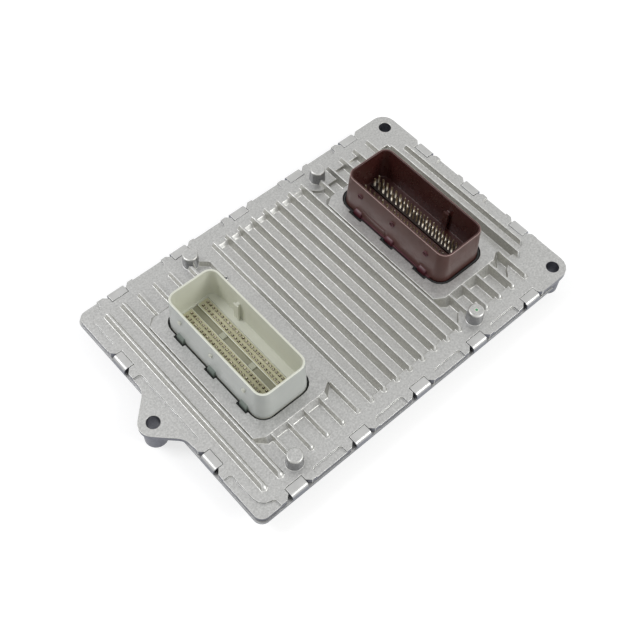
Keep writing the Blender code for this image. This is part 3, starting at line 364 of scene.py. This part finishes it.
def make_camera():
    """The camera that took the photograph, as its place and its three directions."""
    data = bpy.data.cameras.new("photo_camera")
    data.sensor_fit = "HORIZONTAL"
    data.sensor_width = SENSOR_WIDTH
    data.lens = CAMERA_LENS
    data.clip_start = 0.01
    camera = bpy.data.objects.new("photo_camera", data)
    bpy.context.scene.collection.objects.link(camera)
    right, down, ahead = Vector(CAMERA_RIGHT), Vector(CAMERA_DOWN), Vector(CAMERA_AHEAD)
    turn = Matrix((right, -down, -ahead)).transposed()
    camera.matrix_world = Matrix.Translation(CAMERA_PLACE) @ turn.to_4x4()
    bpy.context.scene.camera = camera


def rays_that_show(tree):
    """One for camera, glossy and transmission rays, and zero for the rest."""
    path = tree.nodes.new("ShaderNodeLightPath")
    first = tree.nodes.new("ShaderNodeMath")
    first.operation = "MAXIMUM"
    both = tree.nodes.new("ShaderNodeMath")
    both.operation = "MAXIMUM"
    tree.links.new(path.outputs["Is Camera Ray"], first.inputs[0])
    tree.links.new(path.outputs["Is Glossy Ray"], first.inputs[1])
    tree.links.new(first.outputs[0], both.inputs[0])
    tree.links.new(path.outputs["Is Transmission Ray"], both.inputs[1])
    return both.outputs[0]


def make_floor():
    """A plain pale floor that the camera and reflections see as white, apart from the object's shadow."""
    clear_selection()
    bpy.ops.mesh.primitive_plane_add(size=2 * FLOOR_HALF, location=(0, 0, cad_low.z))
    floor = bpy.context.object
    floor.name = "studio_floor"
    material = bpy.data.materials.new("floor_paper")
    material.use_nodes = True
    nodes, links = material.node_tree.nodes, material.node_tree.links
    shader = nodes["Principled BSDF"]
    shader.inputs["Base Color"].default_value = (FLOOR_TONE, FLOOR_TONE, FLOOR_TONE, 1)
    shader.inputs["Roughness"].default_value = 0.9
    shader.inputs["Emission Color"].default_value = (1, 1, 1, 1)
    glow = nodes.new("ShaderNodeMath")
    glow.operation = "MULTIPLY"
    glow.inputs[1].default_value = FLOOR_GLOW
    links.new(rays_that_show(material.node_tree), glow.inputs[0])
    links.new(glow.outputs[0], shader.inputs["Emission Strength"])
    floor.data.materials.append(material)


def make_world():
    """Even light from all round, seen as white by the camera and in reflections."""
    world = bpy.data.worlds.new("studio_world")
    bpy.context.scene.world = world
    world.use_nodes = True
    nodes, links = world.node_tree.nodes, world.node_tree.links
    background = nodes["Background"]
    level = nodes.new("ShaderNodeMapRange")
    level.inputs["To Min"].default_value = AMBIENT
    level.inputs["To Max"].default_value = 1.0
    links.new(rays_that_show(world.node_tree), level.inputs["Value"])
    links.new(level.outputs["Result"], background.inputs["Strength"])
    background.inputs["Color"].default_value = (1, 1, 1, 1)


def make_softbox(name, place, size, power, colour):
    """A square lamp that faces the object."""
    data = bpy.data.lights.new(name, "AREA")
    data.shape = "SQUARE"
    data.size = size
    data.energy = power
    data.color = colour
    lamp = bpy.data.objects.new(name, data)
    bpy.context.scene.collection.objects.link(lamp)
    lamp.location = place
    lamp.rotation_euler = (-Vector(place)).to_track_quat("-Z", "Y").to_euler()


def new_finish(name, colour, metallic, roughness):
    """A material with its shader, its node tree and the object's own coordinates."""
    material = bpy.data.materials.new(name)
    material.use_nodes = True
    shader = material.node_tree.nodes["Principled BSDF"]
    shader.inputs["Base Color"].default_value = (*colour, 1)
    shader.inputs["Metallic"].default_value = metallic
    shader.inputs["Roughness"].default_value = roughness
    place = material.node_tree.nodes.new("ShaderNodeTexCoord")
    return material, shader, place.outputs["Object"]


def add_noise(material, place, scale, detail=3.0, roughness=0.5):
    """A cloudy pattern between zero and one."""
    noise = material.node_tree.nodes.new("ShaderNodeTexNoise")
    noise.inputs["Scale"].default_value = scale
    noise.inputs["Detail"].default_value = detail
    noise.inputs["Roughness"].default_value = roughness
    material.node_tree.links.new(place, noise.inputs["Vector"])
    return noise.outputs["Fac"]


def spread(material, value, low, high, start=0.3, end=0.7):
    """Stretch a pattern's value over a range."""
    reach = material.node_tree.nodes.new("ShaderNodeMapRange")
    reach.inputs["From Min"].default_value = start
    reach.inputs["From Max"].default_value = end
    reach.inputs["To Min"].default_value = low
    reach.inputs["To Max"].default_value = high
    material.node_tree.links.new(value, reach.inputs["Value"])
    return reach.outputs["Result"]


def two_tones(material, value, dark, light, start=0.3, end=0.7):
    """A colour that runs between two tones as a pattern does."""
    ramp = material.node_tree.nodes.new("ShaderNodeValToRGB")
    ramp.color_ramp.elements[0].position = start
    ramp.color_ramp.elements[0].color = (*dark, 1)
    ramp.color_ramp.elements[1].position = end
    ramp.color_ramp.elements[1].color = (*light, 1)
    material.node_tree.links.new(value, ramp.inputs["Fac"])
    return ramp.outputs["Color"]


def add_bump(material, shader, value, depth, strength=1.0):
    """Let a pattern raise and sink the surface a little."""
    bump = material.node_tree.nodes.new("ShaderNodeBump")
    bump.inputs["Distance"].default_value = depth
    bump.inputs["Strength"].default_value = strength
    material.node_tree.links.new(value, bump.inputs["Height"])
    material.node_tree.links.new(bump.outputs["Normal"], shader.inputs["Normal"])


def steepness(material, start, end):
    """Zero where a surface lies flat and one where it stands upright."""
    tree = material.node_tree
    surface = tree.nodes.new("ShaderNodeNewGeometry")
    parts = tree.nodes.new("ShaderNodeSeparateXYZ")
    tree.links.new(surface.outputs["Normal"], parts.inputs["Vector"])
    flat = tree.nodes.new("ShaderNodeMath")
    flat.operation = "ABSOLUTE"
    tree.links.new(parts.outputs["Z"], flat.inputs[0])
    return spread(material, flat.outputs[0], 1.0, 0.0, start, end)


def blend_tones(material, share, first, second):
    """Mix two colours, each a tone or a pattern's output, by a share."""
    tree = material.node_tree
    mix = tree.nodes.new("ShaderNodeMix")
    mix.data_type = "RGBA"
    tree.links.new(share, mix.inputs["Factor"])
    for socket, tone in ((mix.inputs["A"], first), (mix.inputs["B"], second)):
        if isinstance(tone, tuple):
            socket.default_value = (*tone, 1)
        else:
            tree.links.new(tone, socket)
    return mix.outputs["Result"]


def cast_aluminium():
    """Die-cast skin: warm light grey with a fine grain, lighter on its slopes by a painted highlight, and
    dark on upright sides by painted shade tinted bluish as a painted reflection.
    """
    material, shader, place = new_finish("cast_aluminium_skin", (0.50, 0.50, 0.47), 0.75, 0.4)
    links = material.node_tree.links
    grain = add_noise(material, place, 900.0, 4.0, 0.7)
    flats = two_tones(material, grain, (0.385, 0.385, 0.376), (0.550, 0.550, 0.537), 0.35, 0.65)
    # Painted shade with a bluish painted reflection: the dark tone on upright sides
    sides = two_tones(material, grain, (0.13, 0.135, 0.16), (0.175, 0.18, 0.21), 0.35, 0.65)
    # Painted highlight: a lighter tone than the flats where the surface leans
    slopes = two_tones(material, grain, (0.42, 0.415, 0.385), (0.58, 0.575, 0.535), 0.35, 0.65)
    leaning = blend_tones(material, steepness(material, 0.30, 0.60), flats, slopes)
    tone = blend_tones(material, steepness(material, 0.03, 0.15), leaning, sides)
    links.new(tone, shader.inputs["Base Color"])
    links.new(spread(material, add_noise(material, place, 260.0), 0.34, 0.44), shader.inputs["Roughness"])
    add_bump(material, shader, add_noise(material, place, 1500.0, 4.0, 0.7), 0.00010, 0.35)
    return material


def highlit_edges():
    """The casting's rounded edges and fillets, brighter than its skin by a painted highlight."""
    material, shader, place = new_finish("cast_aluminium_edge_highlight", (0.72, 0.72, 0.70), 0.8, 0.34)
    links = material.node_tree.links
    highlight_noise = add_noise(material, place, 300.0, 5.0, 0.7)
    # Painted highlight on the roundings, spotted by a noise
    tone = two_tones(material, highlight_noise, (0.42, 0.42, 0.40), (0.62, 0.62, 0.60), 0.35, 0.62)
    links.new(tone, shader.inputs["Base Color"])
    links.new(spread(material, highlight_noise, 0.42, 0.30), shader.inputs["Roughness"])
    return material


def bright_sheet():
    """Pressed aluminium sheet: smoother than the casting, with painted shade, tinted bluish, where it stands
    upright.
    """
    material, shader, place = new_finish("bright_sheet", (0.55, 0.55, 0.56), 0.8, 0.32)
    links = material.node_tree.links
    flats = two_tones(material, add_noise(material, place, 120.0), (0.46, 0.46, 0.45), (0.53, 0.53, 0.52))
    # Painted shade: a dark bluish tone where the sheet stands upright
    tone = blend_tones(material, steepness(material, 0.10, 0.80), flats, (0.17, 0.18, 0.21))
    links.new(tone, shader.inputs["Base Color"])
    links.new(spread(material, add_noise(material, place, 300.0), 0.32, 0.42), shader.inputs["Roughness"])
    return material


def moulded(name, dark, light, roughness, scale=60.0):
    """Moulded plastic: two near tones in slow clouds and a fine mould grain."""
    material, shader, place = new_finish(name, light, 0.0, roughness)
    links = material.node_tree.links
    tone = two_tones(material, add_noise(material, place, scale), dark, light)
    links.new(tone, shader.inputs["Base Color"])
    sheen = spread(material, add_noise(material, place, 400.0), roughness - 0.05, roughness + 0.06)
    links.new(sheen, shader.inputs["Roughness"])
    add_bump(material, shader, add_noise(material, place, 500.0, 2.0), 0.00002, 0.15)
    return material


def gilded():
    """Thin pale gold plate on the pins, with a painted highlight on their ends."""
    material, shader, place = new_finish("pale_gold_plate", (0.60, 0.50, 0.36), 0.6, 0.45)
    links = material.node_tree.links
    shaft = two_tones(material, add_noise(material, place, 500.0), (0.30, 0.22, 0.13), (0.42, 0.33, 0.20))
    # Painted highlight: a pale tone on the pins' flat ends
    tone = blend_tones(material, steepness(material, 0.4, 0.9), (0.78, 0.72, 0.60), shaft)
    links.new(tone, shader.inputs["Base Color"])
    return material


FINISH_MAKERS = {
    "cast_aluminium": cast_aluminium,
    "sheet_aluminium": bright_sheet,
    "white_plastic": lambda: moulded("greenish_white_plastic", (0.64, 0.65, 0.56), (0.69, 0.70, 0.61), 0.42),
    "brown_plastic": lambda: moulded("maroon_plastic", (0.046, 0.012, 0.010), (0.060, 0.017, 0.014), 0.30),
    "terminal_olive": lambda: moulded("olive_insulator", (0.49, 0.475, 0.31), (0.59, 0.57, 0.40), 0.5),
    "terminal_brown": lambda: moulded("brown_insulator", (0.013, 0.006, 0.005), (0.020, 0.009, 0.007), 0.55),
    "seal_rubber": lambda: moulded("black_seal_rubber", (0.010, 0.012, 0.012), (0.018, 0.020, 0.020), 0.65),
    "board_green": lambda: moulded("green_laminate", (0.016, 0.095, 0.042), (0.024, 0.125, 0.058), 0.45),
    "chip_black": lambda: moulded("chip_moulding", (0.016, 0.016, 0.018), (0.026, 0.026, 0.028), 0.5),
    "pad_grey": lambda: moulded("thermal_pad_grey", (0.30, 0.32, 0.36), (0.38, 0.40, 0.44), 0.8),
    "part_silver": bright_sheet,
}
finishes = {slot: make() for slot, make in FINISH_MAKERS.items()}
# Outside walls: painted shade darkens the white shroud's outside, and a painted reflection makes the brown
# one's lighter and greyer than its inside
outside_shade_and_sheen = {
    "white": moulded("shaded_white_plastic_outside", (0.49, 0.515, 0.49), (0.545, 0.565, 0.54), 0.38),
    "brown": moulded("sheened_maroon_plastic_outside", (0.082, 0.036, 0.030), (0.108, 0.049, 0.042), 0.34),
}
foot_finishes = {
    "white": moulded("grey_green_foot", (0.13, 0.16, 0.14), (0.19, 0.22, 0.19), 0.45),
    "brown": moulded("dark_maroon_foot", (0.060, 0.010, 0.016), (0.080, 0.014, 0.022), 0.36),
}
nub_finishes = {
    "white": finishes["white_plastic"],
    "brown": foot_finishes["brown"],
}
# Painted highlights on the rims' rounded top edges, pale on the white shroud and greyish pink on the brown
# one
rim_highlights = {
    "white": moulded("pale_rim_highlight", (0.72, 0.74, 0.66), (0.78, 0.80, 0.72), 0.36),
    "brown": moulded("maroon_rim_highlight", (0.26, 0.17, 0.155), (0.34, 0.23, 0.21), 0.34),
}
pin_gold = gilded()
# Painted shade inside the shallow holes of the pin collars
hole_shade = moulded("hole_shade", (0.030, 0.026, 0.014), (0.050, 0.044, 0.024), 0.7)
channel_tone = moulded("olive_grey_channel", (0.26, 0.26, 0.185), (0.33, 0.32, 0.235), 0.5)
bridge_tone = moulded("grey_green_bridge", (0.40, 0.41, 0.32), (0.46, 0.47, 0.37), 0.45)


def dress_packed_nodes():
    """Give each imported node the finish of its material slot."""
    for part in frame["record"]["subparts"]:
        node = frame["nodes"][part["node"]]
        node.data.materials.clear()
        node.data.materials.append(finishes[part["material_slot"]])


def ease_plateau_ends(piece):
    """Lean the plateaus' end steps back, less and less along the cut corners.

    The white header's plateau rises from the flange, and the brown header's from the pockets round it.
    """
    for vertex in piece.data.vertices:
        x, y, z = vertex.co
        base = FLANGE_TOP if x < 0 else POCKET_FLOOR
        if z < base + MERGE or not any(low < x < high for low, high in PLATEAU_SPANS):
            continue
        depth = min(y - PLATEAU_ENDS[0], PLATEAU_ENDS[1] - y)
        if not -NEAR < depth < PLATEAU_CUT:
            continue
        share = min(1.0, (z - base) / (FIN_LEVEL - base)) * min(1.0, 1.0 - depth / PLATEAU_CUT)
        vertex.co.y += math.copysign(PLATEAU_EASE, -y) * share


def casting_fillet(place, direction):
    """Wide on the posts, finer on fin tops and pads, finest where ribs run into the plateaus' end steps.

    The flat round the lower corner ear is too shallow for a fillet, so the edges near it stay sharp.
    """
    if place.z > POST_TOP - TOUCH:
        return POST_FILLET
    in_span = any(low < place.x < high for low, high in PLATEAU_SPANS)
    depth = min(place.y - PLATEAU_ENDS[0], PLATEAU_ENDS[1] - place.y)
    if in_span and -TOUCH < depth < PLATEAU_EASE + NARROW_BAND and place.z > FLANGE_TOP + NEAR:
        return NARROW_FILLET
    if abs(place.z - FIN_LEVEL) < FIN_TOP_BAND:
        return FIN_TOP_FILLET
    at_lower_ear = place.x > EAR_FLAT_START and place.y < EAR_FLAT_HIGH
    if at_lower_ear and PAD_LEVEL + EAR_FLAT_RISE < place.z < FLANGE_TOP + HAIR:
        return 0.0
    left, right, low, high = PLATE_EDGES
    margin = min(place.x - left, right - place.x, place.y - low, high - place.y)
    if margin < PAD_WIDTH and place.x < PAD_END and place.z < FLANGE_TOP + HAIR:
        return PAD_FILLET
    return CASTING_FILLET


def make_casting():
    """The finned cover, with a painted highlight on its roundings."""
    piece = stand_in("housing_cover", "cover_casting", CASTING_MERGE)
    ease_plateau_ends(piece)
    piece.data.materials.append(finishes["cast_aluminium"])
    piece.data.materials.append(highlit_edges())
    round_edges(piece, casting_fillet, edge_finish=1)


def lengthen_tabs(piece):
    """Bring each folded tab's free end nearer to the wall of its pocket."""
    left, right, low, high = PLATE_EDGES
    sides = ((0, left, 1), (0, right, -1), (1, low, 1), (1, high, -1))
    for vertex in piece.data.vertices:
        if vertex.co.z < PAD_LEVEL:
            continue
        for axis, edge, inward in sides:
            if abs(inward * (vertex.co[axis] - edge) - TAB_REACH) < TOUCH:
                vertex.co[axis] += inward * TAB_GROWTH
                break


def widen_tabs(piece):
    """Bring each tab's sides nearer to the sides of its notch."""
    left, right, low, high = PLATE_EDGES
    for along, across, sides in ((1, 0, (left, right)), (0, 1, (low, high))):
        for side in sides:
            ring = [v for v in piece.data.vertices
                    if v.co.z > PAD_LEVEL and abs(v.co[across] - side) < TAB_BAND]
            ring.sort(key=lambda v: v.co[along])
            groups = []
            for vertex in ring:
                if not groups or vertex.co[along] - groups[-1][-1].co[along] > TAB_SPACING:
                    groups.append([])
                groups[-1].append(vertex)
            for group in groups:
                middle = (group[0].co[along] + group[-1].co[along]) / 2
                for vertex in group:
                    vertex.co[along] += math.copysign(TAB_WIDENING, vertex.co[along] - middle)


def sheet_fillet(place, direction):
    """No rounding at the tabs' feet, where it would stand out past the tabs."""
    left, right, low, high = PLATE_EDGES
    outside = max(left - place.x, place.x - right, low - place.y, place.y - high)
    return 0.0 if outside > NEAR and place.z < TAB_FOOT else SHEET_FILLET


def make_tray():
    """The pressed tray with its fifteen folded tabs."""
    piece = stand_in("base_tray", "pressed_tray")
    lengthen_tabs(piece)
    widen_tabs(piece)
    piece.data.materials.append(finishes["sheet_aluminium"])
    round_edges(piece, sheet_fillet)


def lower_feet(piece, wall):
    """Bring the shroud's locating feet down to low lugs."""
    for vertex in piece.data.vertices:
        if vertex.co.x < wall - TOUCH and abs(vertex.co.z - FOOT_TOP) < NEAR:
            vertex.co.z = LOWERED_FOOT


def near_nub(centre, place):
    """True where a place belongs to one of a shroud's round nubs."""
    if place.x > centre[0] - HEADER_WIDTH / 2 + HEADER_DRAFT:
        return False
    return any(math.hypot(place.y - centre[1] - offset, place.z - NUB_LEVEL) < NUB_RADIUS + TOUCH
               for offset in NUB_OFFSETS)


def wall_at_nubs(centre):
    """Where the leaning shroud wall stands at the nubs' height."""
    height = (NUB_LEVEL - SOCKET_FLOOR) / (HEADER_TOP - SOCKET_FLOOR)
    return centre[0] - HEADER_WIDTH / 2 + HEADER_DRAFT * height


def hollow_nubs(piece, centre):
    """Sink the middle of each nub, so that it reads as a ring."""
    wall = wall_at_nubs(centre)

    def is_nub_end(place, normal):
        return normal.x < -0.9 and near_nub(centre, place) and place.x < wall - NEAR

    pick(piece, "FACE", is_nub_end)
    bpy.ops.mesh.inset(thickness=NUB_RING, depth=0.0)
    bpy.ops.mesh.extrude_region_move(TRANSFORM_OT_translate={"value": (NUB_HOLLOW, 0, 0)})
    bpy.ops.object.mode_set(mode="OBJECT")


def sharpen_nubs(piece, centre):
    """Make each nub a smaller, more prominent bump."""
    wall = wall_at_nubs(centre)
    for vertex in piece.data.vertices:
        if not near_nub(centre, vertex.co):
            continue
        for offset in NUB_OFFSETS:
            along, up = vertex.co.y - centre[1] - offset, vertex.co.z - NUB_LEVEL
            if math.hypot(along, up) < NUB_RADIUS + TOUCH:
                vertex.co.y -= along * NUB_SHRINK
                vertex.co.z -= up * NUB_SHRINK
                if vertex.co.x < wall - NEAR:
                    vertex.co.x -= NUB_GROWTH
                break


def make_shroud(tone, centre):
    """One header's shroud: inside, feet and nubs each in their own tone, the white outside with painted
    shade, the brown outside with a painted reflection, and the rim with a painted highlight.
    """
    piece = stand_in(tone + "_header", tone + "_shroud")
    piece.data.materials.append(finishes[tone + "_plastic"])
    wall = centre[0] - HEADER_WIDTH / 2
    lower_feet(piece, wall)
    if tone == "brown":
        hollow_nubs(piece, centre)
    else:
        sharpen_nubs(piece, centre)

    def outward(place, normal):
        return (place.x - centre[0]) * normal.x + (place.y - centre[1]) * normal.y

    def is_outside(place, normal):
        upright = abs(normal.z) < 0.5
        return upright and outward(place, normal) > OUTWARD_REACH and place.z > SOCKET_FLOOR - SHROUD_SKIRT

    def is_foot(place, normal):
        return place.x < wall - HAIR and SOCKET_FLOOR - SHROUD_SKIRT < place.z < FOOT_TOP

    def is_nub(place, normal):
        return near_nub(centre, place) and place.x < wall + NUB_ROOT

    def is_rim(place, normal):
        tilted = RIM_TILTS[0] < normal.z < RIM_TILTS[1]
        return tilted and outward(place, normal) > 0.0 and place.z > HEADER_TOP - MOULDING_FILLET

    def fillet(place, direction):
        if near_nub(centre, place):
            return NUB_FILLET
        if place.x < wall - NEAR and place.z > SOCKET_FLOOR:
            return FOOT_FILLET
        return MOULDING_FILLET

    # Painted shade on the white shroud's outside, a painted reflection on the brown one's
    paint_faces(piece, outside_shade_and_sheen[tone], is_outside)
    paint_faces(piece, foot_finishes[tone], is_foot)
    paint_faces(piece, nub_finishes[tone], is_nub)
    round_edges(piece, fillet)
    # Painted highlight on the rounded outer edge of the rim
    paint_faces(piece, rim_highlights[tone], is_rim)


def make_key_head(tone, centre):
    """The cross bar at the end of the keying rib, over the rib's whole height."""
    thick, wide = KEY_HEAD
    end = centre[0] + KEY_END
    middle = centre[1] + KEY_OFFSETS[tone]
    low = (end - SEATING, middle - wide / 2, SOCKET_FLOOR - KEY_SINK)
    high = (end - SEATING + thick, middle + wide / 2, KEY_TOP + HAIR)
    piece = new_box(tone + "_key_head", low, high, finishes[tone + "_plastic"])
    round_edges(piece, evenly(KEY_FILLET))
    add_to_object(piece)


def make_white_insert():
    """The floor plate of the white socket, with windows for both blocks and two bridges between them."""
    x, y = WHITE_CENTRE
    low = (x - SOCKET_HALF_WIDTH, y - SOCKET_HALF_LENGTH, SOCKET_FLOOR - SEATING)
    high = (x + SOCKET_HALF_WIDTH, y + SOCKET_HALF_LENGTH, INSERT_TOP)
    piece = new_box("white_socket_floor", low, high, finishes["white_plastic"])
    pick(piece, "EDGE", lambda place, direction: abs(direction.z) > 0.9)
    bpy.ops.mesh.bevel(offset=SOCKET_CORNER, segments=6)
    bpy.ops.object.mode_set(mode="OBJECT")
    half = WHITE_BLOCK_HALF + WINDOW_GAP
    long = BLOCK_HALF_LENGTH + WINDOW_GAP
    under = SOCKET_FLOOR - CUT_PAST
    over = INSERT_TOP + CUT_PAST
    for side in (-1, 1):
        middle = x + side * BLOCK_OFFSET
        cut_out(piece, (middle - half, y - long, under), (middle + half, y + long, over))
    inner = BLOCK_OFFSET - half + CHANNEL_OVERLAP
    bridges = (-long, -BRIDGE_OFFSET, BRIDGE_OFFSET, long)
    for start, end in zip(bridges, bridges[1:]):
        first = start + (BRIDGE_HALF if start > -long else 0.0)
        last = end - (BRIDGE_HALF if end < long else 0.0)
        cut_out(piece, (x - inner, y + first, under), (x + inner, y + last, over))

    def is_bridge(place, normal):
        return abs(place.x - x) < inner and abs(place.y - y) < BRIDGE_REACH

    paint_faces(piece, bridge_tone, is_bridge)
    round_edges(piece, evenly(INSERT_FILLET))
    add_to_object(piece)


def make_white_channel():
    """The floor of the channel between the white header's two contact blocks."""
    x, y = WHITE_CENTRE
    half = BLOCK_OFFSET - WHITE_BLOCK_HALF - WINDOW_GAP + CHANNEL_OVERLAP
    long = BLOCK_HALF_LENGTH + WINDOW_GAP
    below, above = CHANNEL_LEVELS
    piece = new_box("white_socket_channel", (x - half, y - long, SOCKET_FLOOR + below),
                    (x + half, y + long, SOCKET_FLOOR + above), channel_tone)
    round_edges(piece, evenly(CHANNEL_FILLET))
    add_to_object(piece)


def make_contact_block(tone, row, side, centre, half, top):
    """A contact block with its plated pins, and the wider face that shows in the socket."""
    slot = "terminal_olive" if tone == "white" else "terminal_brown"
    pins = stand_in(tone + "_terminals_" + row, tone + "_contacts_" + row)
    pins.data.materials.append(finishes[slot])
    paint_faces(pins, pin_gold, lambda place, normal: place.z > top + HAIR)
    smooth_faces(pins)
    middle = centre[0] + side * BLOCK_OFFSET
    low = (middle - half, centre[1] - BLOCK_HALF_LENGTH, SOCKET_FLOOR - SEATING)
    high = (middle + half, centre[1] + BLOCK_HALF_LENGTH, top + BLOCK_FACE_RISE)
    face = new_box(tone + "_contact_face_" + row, low, high, finishes[slot])
    if tone == "white":
        # Painted highlight on the white block face's rounded edges
        face.data.materials.append(rim_highlights["white"])
        round_edges(face, evenly(WHITE_FACE_FILLET), edge_finish=1)
    else:
        round_edges(face, evenly(BROWN_FACE_FILLET))
    add_to_object(face)


def make_collars(row, side):
    """A collar with a square hole round each white pin, darkened inside by painted shade: modelled once, then
    copied along two lines.
    """
    x = WHITE_CENTRE[0] + side * BLOCK_OFFSET
    half = COLLAR_SIZE / 2
    low = (-half, -half, WHITE_BLOCK_TOP - HAIR)
    high = (half, half, WHITE_BLOCK_TOP + COLLAR_RISE)
    first = new_box("white_collars_" + row, low, high, finishes["terminal_olive"])
    pick(first, "FACE", lambda place, normal: normal.z > 0.9)
    bpy.ops.mesh.inset(thickness=COLLAR_RIM, depth=0.0)
    bpy.ops.mesh.extrude_region_move(TRANSFORM_OT_translate={"value": (0, 0, COLLAR_FLOOR - COLLAR_RISE)})
    bpy.ops.object.mode_set(mode="OBJECT")
    inner = half - COLLAR_RIM + MERGE
    # Painted shade on the faces inside each collar's shallow hole
    paint_faces(first, hole_shade, lambda place, normal: max(abs(place.x), abs(place.y)) < inner)
    copies = []
    for line in (-1, 1):
        for column in range(WHITE_COLUMNS):
            copy = first.copy()
            copy.data = first.data.copy()
            bpy.context.scene.collection.objects.link(copy)
            along = WHITE_CENTRE[1] + (column - (WHITE_COLUMNS - 1) / 2) * WHITE_PITCH
            copy.data.transform(Matrix.Translation((x + line * ROW_OFFSET, along, 0)))
            copies.append(copy)
    bpy.data.objects.remove(first)
    activate(copies[0])
    for copy in copies:
        copy.select_set(True)
    bpy.ops.object.join()
    piece = bpy.context.object
    piece.name = "white_collars_" + row
    add_to_object(piece)


def make_header_seals():
    """The rubber lips that show as a dark line round each shroud."""
    for tone in ("white", "brown"):
        piece = stand_in(tone + "_header_seal", tone + "_seal_lip", whole_faces=False)
        piece.data.materials.append(finishes["seal_rubber"])
        round_edges(piece, evenly(SEAL_FILLET))


def make_brown_rail():
    """The low rail along the foot of the brown shroud, and the raised panel above it."""
    x, y = BROWN_CENTRE
    wall = x - HEADER_WIDTH / 2
    rail = new_box("brown_foot_rail", (wall - RAIL_REACH, y + RAIL_ENDS[0], SOCKET_FLOOR - RAIL_SINK),
                   (wall + RAIL_DEPTH, y + RAIL_ENDS[1], RAIL_TOP), foot_finishes["brown"])
    round_edges(rail, evenly(RAIL_FILLET))
    add_to_object(rail)
    # The panel carries the painted reflection of the brown shroud's outside
    panel = new_box("brown_wall_panel", (wall - PANEL_REACH, y + PANEL_ENDS[0], SOCKET_FLOOR),
                    (wall + PANEL_DEPTH, y + PANEL_ENDS[1], PANEL_TOP), outside_shade_and_sheen["brown"])
    round_edges(panel, evenly(PANEL_FILLET))
    add_to_object(panel)


def make_post_mark():
    """The small green dot with its pale ring on one post."""
    x, y = MARKED_POST
    clear_selection()
    bpy.ops.mesh.primitive_cylinder_add(vertices=24, radius=MARK_RADIUS, depth=MARK_DEPTH,
                                        location=(x, y, POST_TOP))
    piece = bpy.context.object
    piece.name = "post_mark"
    bpy.ops.object.transform_apply(location=True, rotation=True, scale=True)
    piece.data.materials.append(finishes["white_plastic"])
    pick(piece, "FACE", lambda place, normal: normal.z > 0.9)
    bpy.ops.mesh.inset(thickness=MARK_RING, depth=0.0)
    bpy.ops.object.mode_set(mode="OBJECT")

    def is_dot(place, normal):
        return normal.z > 0.9 and math.hypot(place.x - x, place.y - y) < MARK_CORE

    paint_faces(piece, moulded("mark_green", (0.03, 0.22, 0.10), (0.05, 0.30, 0.14), 0.5), is_dot)
    add_to_object(piece)


make_camera()
make_floor()
make_world()
make_softbox("back_softbox", BACK_PLACE, BACK_SIZE, BACK_POWER, BACK_COLOUR)
make_softbox("right_softbox", RIGHT_PLACE, RIGHT_SIZE, RIGHT_POWER, RIGHT_COLOUR)
dress_packed_nodes()
make_casting()
make_tray()
make_shroud("white", WHITE_CENTRE)
make_shroud("brown", BROWN_CENTRE)
make_key_head("white", WHITE_CENTRE)
make_key_head("brown", BROWN_CENTRE)
make_white_insert()
make_white_channel()
for block_row, block_side in (("front", -1), ("rear", 1)):
    make_contact_block("white", block_row, block_side, WHITE_CENTRE, WHITE_BLOCK_HALF, WHITE_BLOCK_TOP)
    make_contact_block("brown", block_row, block_side, BROWN_CENTRE, BROWN_BLOCK_HALF, BROWN_BLOCK_TOP)
    make_collars(block_row, block_side)
make_header_seals()
make_brown_rail()
make_post_mark()
bpy.context.scene.view_settings.view_transform = "Standard"
